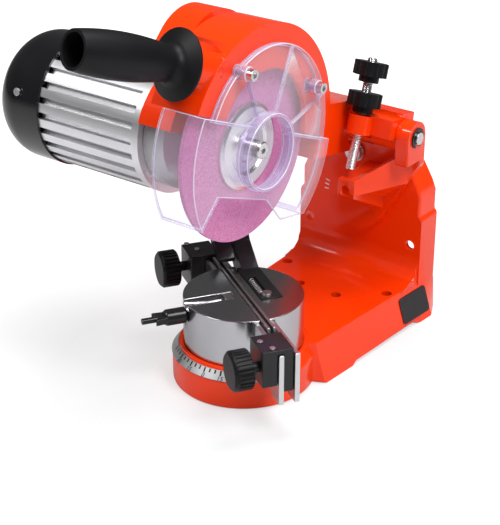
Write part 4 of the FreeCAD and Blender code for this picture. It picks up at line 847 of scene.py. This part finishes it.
class GRINDER_OT_scale(bpy.types.Operator):
    """Angle scale on the base: plate finish, lines and figures"""
    bl_idname = "grinder.scale"
    bl_label = "Angle scale"

    def execute(self, context):
        plate = bright("scale_plate", colour=(0.58, 0.58, 0.59), rough=0.50, stretch=(4, 4, 4), bump=0.03)
        black = ink("scale_black", colour=(0.012, 0.012, 0.012))
        dress(plate, "angle_scale")
        d = detail()
        self.lines("short_lines", black, step=5, length=d.short_tick, level=28.3)
        self.lines("long_lines", black, step=15, length=d.long_tick, level=27.9)
        for text, degrees in (("30", -30), ("15", -15), ("0", 0), ("15", 15), ("30", 30)):
            self.figure(text, degrees, black)
        return {"FINISHED"}

    def band_radius(self, level, lift):
        """Radius of the sloping band at a level, with what is printed lifted clear of it."""
        return BAND_RADIUS - (level - BAND_FOOT) * BAND_RUN / BAND_RISE + lift

    def lines(self, name, black, step, length, level):
        """Lines at every so many degrees, at one level of the band."""
        first = detail().scale_zero - math.radians(90 + SCALE_ARC / 2)
        piece = ticks(
            name, Matrix.Identity(4), Count=SCALE_ARC // step + 1, Step=math.radians(step), Start=first,
            Width=detail().tick_width, Length=length, Height=0.12 * MM,
            Slope=-math.atan2(BAND_RISE, BAND_RUN), Radius=self.band_radius(level, lift=0.93) * MM,
            Level=level * MM, Ink=black)
        settle(piece, "base", "scale_aluminium")

    def figure(self, text, degrees, black):
        """A number laid on the sloping band."""
        foot_margin = 0.8
        mean_radius = 53.0
        curve = bpy.data.curves.new("scale_figure", "FONT")
        curve.body = text
        curve.size = 4.8
        curve.offset = 0.07
        curve.shear = 0.2
        curve.align_x = "CENTER"
        holder = add_object("scale_figure", curve)
        mesh = evaluated_mesh(holder)
        bpy.data.objects.remove(holder)
        middle = detail().scale_zero + math.radians(degrees)
        climb = BAND_RISE / math.hypot(BAND_RISE, BAND_RUN)
        for vertex in mesh.vertices:
            level = BAND_FOOT + (vertex.co.y + foot_margin) * climb
            radius = self.band_radius(level, lift=0.97)
            angle = middle + vertex.co.x / mean_radius
            vertex.co = Vector((radius * math.cos(angle), radius * math.sin(angle), level)) * MM
        name = "figure_%s_%d" % (text, degrees + 90)
        settle(new_piece(name, mesh, black), "base", "scale_aluminium")


class GRINDER_OT_tilt_marks(bpy.types.Operator):
    """White tilt marks on the tilt bracket's disc"""
    bl_idname = "grinder.tilt_marks"
    bl_label = "Tilt marks"

    def execute(self, context):
        white = ink("mark_white", colour=(0.82, 0.82, 0.80))
        disc_face = Vector((0, 151.95, 98)) * MM
        place = Matrix.Translation(disc_face) @ Matrix.Rotation(math.radians(90), 4, "X")
        piece = ticks(
            "tilt_lines", place, Count=3, Step=math.radians(8), Start=math.radians(74),
            Width=1.1 * MM, Length=4.0 * MM, Height=0.16 * MM, Slope=0.0, Radius=27.5 * MM,
            Level=0.0, Ink=white)
        settle(piece, "tilt_frame", "orange_enamel")
        return {"FINISHED"}


class GRINDER_OT_stage(bpy.types.Operator):
    """Pale floor, soft lights and the camera"""
    bl_idname = "grinder.stage"
    bl_label = "Stage"

    def execute(self, context):
        scene = context.scene
        stage = scene.grinder_stage
        scene.view_settings.view_transform = "Standard"
        self.floor()
        self.world(scene)
        self.lamp(
            "key_light", stage.key_power, size=0.55, place=(-0.75, -0.95, 1.5), aim=(-0.05, 0.0, 0.16))
        self.lamp(
            "fill_light", stage.fill_power, size=0.7, place=(0.95, -0.2, 1.4), aim=(0.0, 0.07, 0.08))
        self.lamp(
            "top_light", stage.top_power, size=0.9, place=(0.15, 0.45, 1.6), aim=(0.0, 0.05, 0.1))
        self.camera(scene)
        return {"FINISHED"}

    def floor(self):
        """A pale floor that shows shadows near the part and fades to white away from it."""
        half = 4
        level = -0.4 * MM
        corners = [(x * half, y * half, level) for x, y in ((-1, -1), (1, -1), (1, 1), (-1, 1))]
        mesh = bpy.data.meshes.new("pale_floor")
        mesh.from_pydata(corners, [], [(0, 1, 2, 3)])
        s = Shader("pale_floor")
        s.set(Base_Color=(0.62, 0.62, 0.63, 1), Roughness=0.9)
        glow = s.tree.nodes.new("ShaderNodeEmission")
        glow.inputs["Strength"].default_value = 1.36
        path = s.tree.nodes.new("ShaderNodeLightPath")
        seen = Value(s, path.outputs["Is Camera Ray"]) + Value(s, path.outputs["Is Transmission Ray"])
        far = s.node("ShaderNodeMapRange", {}, {
            "Value": s.reach(s.place()), "From Min": 0.15, "From Max": 0.42, "To Min": 0.4,
            "To Max": 1.0}, out="Result")
        s.mix(seen * far, s.surface, glow)
        new_piece("pale_floor", mesh, s.material)

    def world(self, scene):
        """Even light, white to the camera and dim in gloss."""
        stage = scene.grinder_stage
        world = bpy.data.worlds.new("studio")
        world.use_nodes = True
        scene.world = world
        tree = world.node_tree
        sky = tree.nodes["Background"]
        path = tree.nodes.new("ShaderNodeLightPath")
        seen = tree.nodes.new("ShaderNodeMapRange")
        seen.inputs["To Min"].default_value = stage.sky
        seen.inputs["To Max"].default_value = 1.0
        mirrored = tree.nodes.new("ShaderNodeMapRange")
        mirrored.inputs["To Max"].default_value = stage.mirrored_sky
        tree.links.new(path.outputs["Is Camera Ray"], seen.inputs["Value"])
        tree.links.new(path.outputs["Is Glossy Ray"], mirrored.inputs["Value"])
        tree.links.new(seen.outputs["Result"], mirrored.inputs["To Min"])
        tree.links.new(mirrored.outputs["Result"], sky.inputs["Strength"])
        sky.inputs["Color"].default_value = (1, 1, 1, 1)

    def set_up(self, thing, place, direction):
        """Put a lamp or the camera in its place, looking one way."""
        thing.location = place
        thing.rotation_euler = direction.to_track_quat("-Z", "Y").to_euler()

    def lamp(self, name, power, size, place, aim):
        data = bpy.data.lights.new(name, "AREA")
        data.shape = "DISK"
        data.size = size
        data.energy = power
        self.set_up(add_object(name, data), place, Vector(aim) - Vector(place))

    def camera(self, scene):
        place = (0.5783, -0.7593, 0.56685)
        direction = Vector((-0.5397, 0.7162, -0.4425))
        data = bpy.data.cameras.new("view")
        data.sensor_width = 36
        data.lens = 96.69
        scene.camera = add_object("view", data)
        self.set_up(scene.camera, place, direction)


PIECES = (
    GRINDER_OT_castings,
    GRINDER_OT_motor,
    GRINDER_OT_wheel,
    GRINDER_OT_guard,
    GRINDER_OT_controls,
    GRINDER_OT_vise,
    GRINDER_OT_hardware,
    GRINDER_OT_rod,
    GRINDER_OT_springs,
    GRINDER_OT_scale,
    GRINDER_OT_tilt_marks,
    GRINDER_OT_stage,
)
GROUPS = (
    ("grinder_finish", GrinderFinish),
    ("grinder_detail", GrinderDetail),
    ("grinder_stage", GrinderStage),
)


class GRINDER_PT_panel(bpy.types.Panel):
    """Sizes, colours and the pieces to make"""
    bl_idname = "GRINDER_PT_panel"
    bl_label = "Grinder"
    bl_space_type = "VIEW_3D"
    bl_region_type = "UI"
    bl_category = "Grinder"

    def draw(self, context):
        for key, group in GROUPS:
            values = getattr(context.scene, key)
            for name in group.__annotations__:
                self.layout.prop(values, name)
        for piece in PIECES:
            self.layout.operator(piece.bl_idname)


def register():
    for key, group in GROUPS:
        bpy.utils.register_class(group)
        setattr(bpy.types.Scene, key, PointerProperty(type=group))
    for piece in PIECES:
        bpy.utils.register_class(piece)
    bpy.utils.register_class(GRINDER_PT_panel)


def unregister():
    bpy.utils.unregister_class(GRINDER_PT_panel)
    for piece in reversed(PIECES):
        bpy.utils.unregister_class(piece)
    for key, group in reversed(GROUPS):
        delattr(bpy.types.Scene, key)
        bpy.utils.unregister_class(group)


def main():
    register()
    for piece in PIECES:
        group, name = piece.bl_idname.split(".")
        getattr(getattr(bpy.ops, group), name)()


if __name__ == "__main__":
    main()
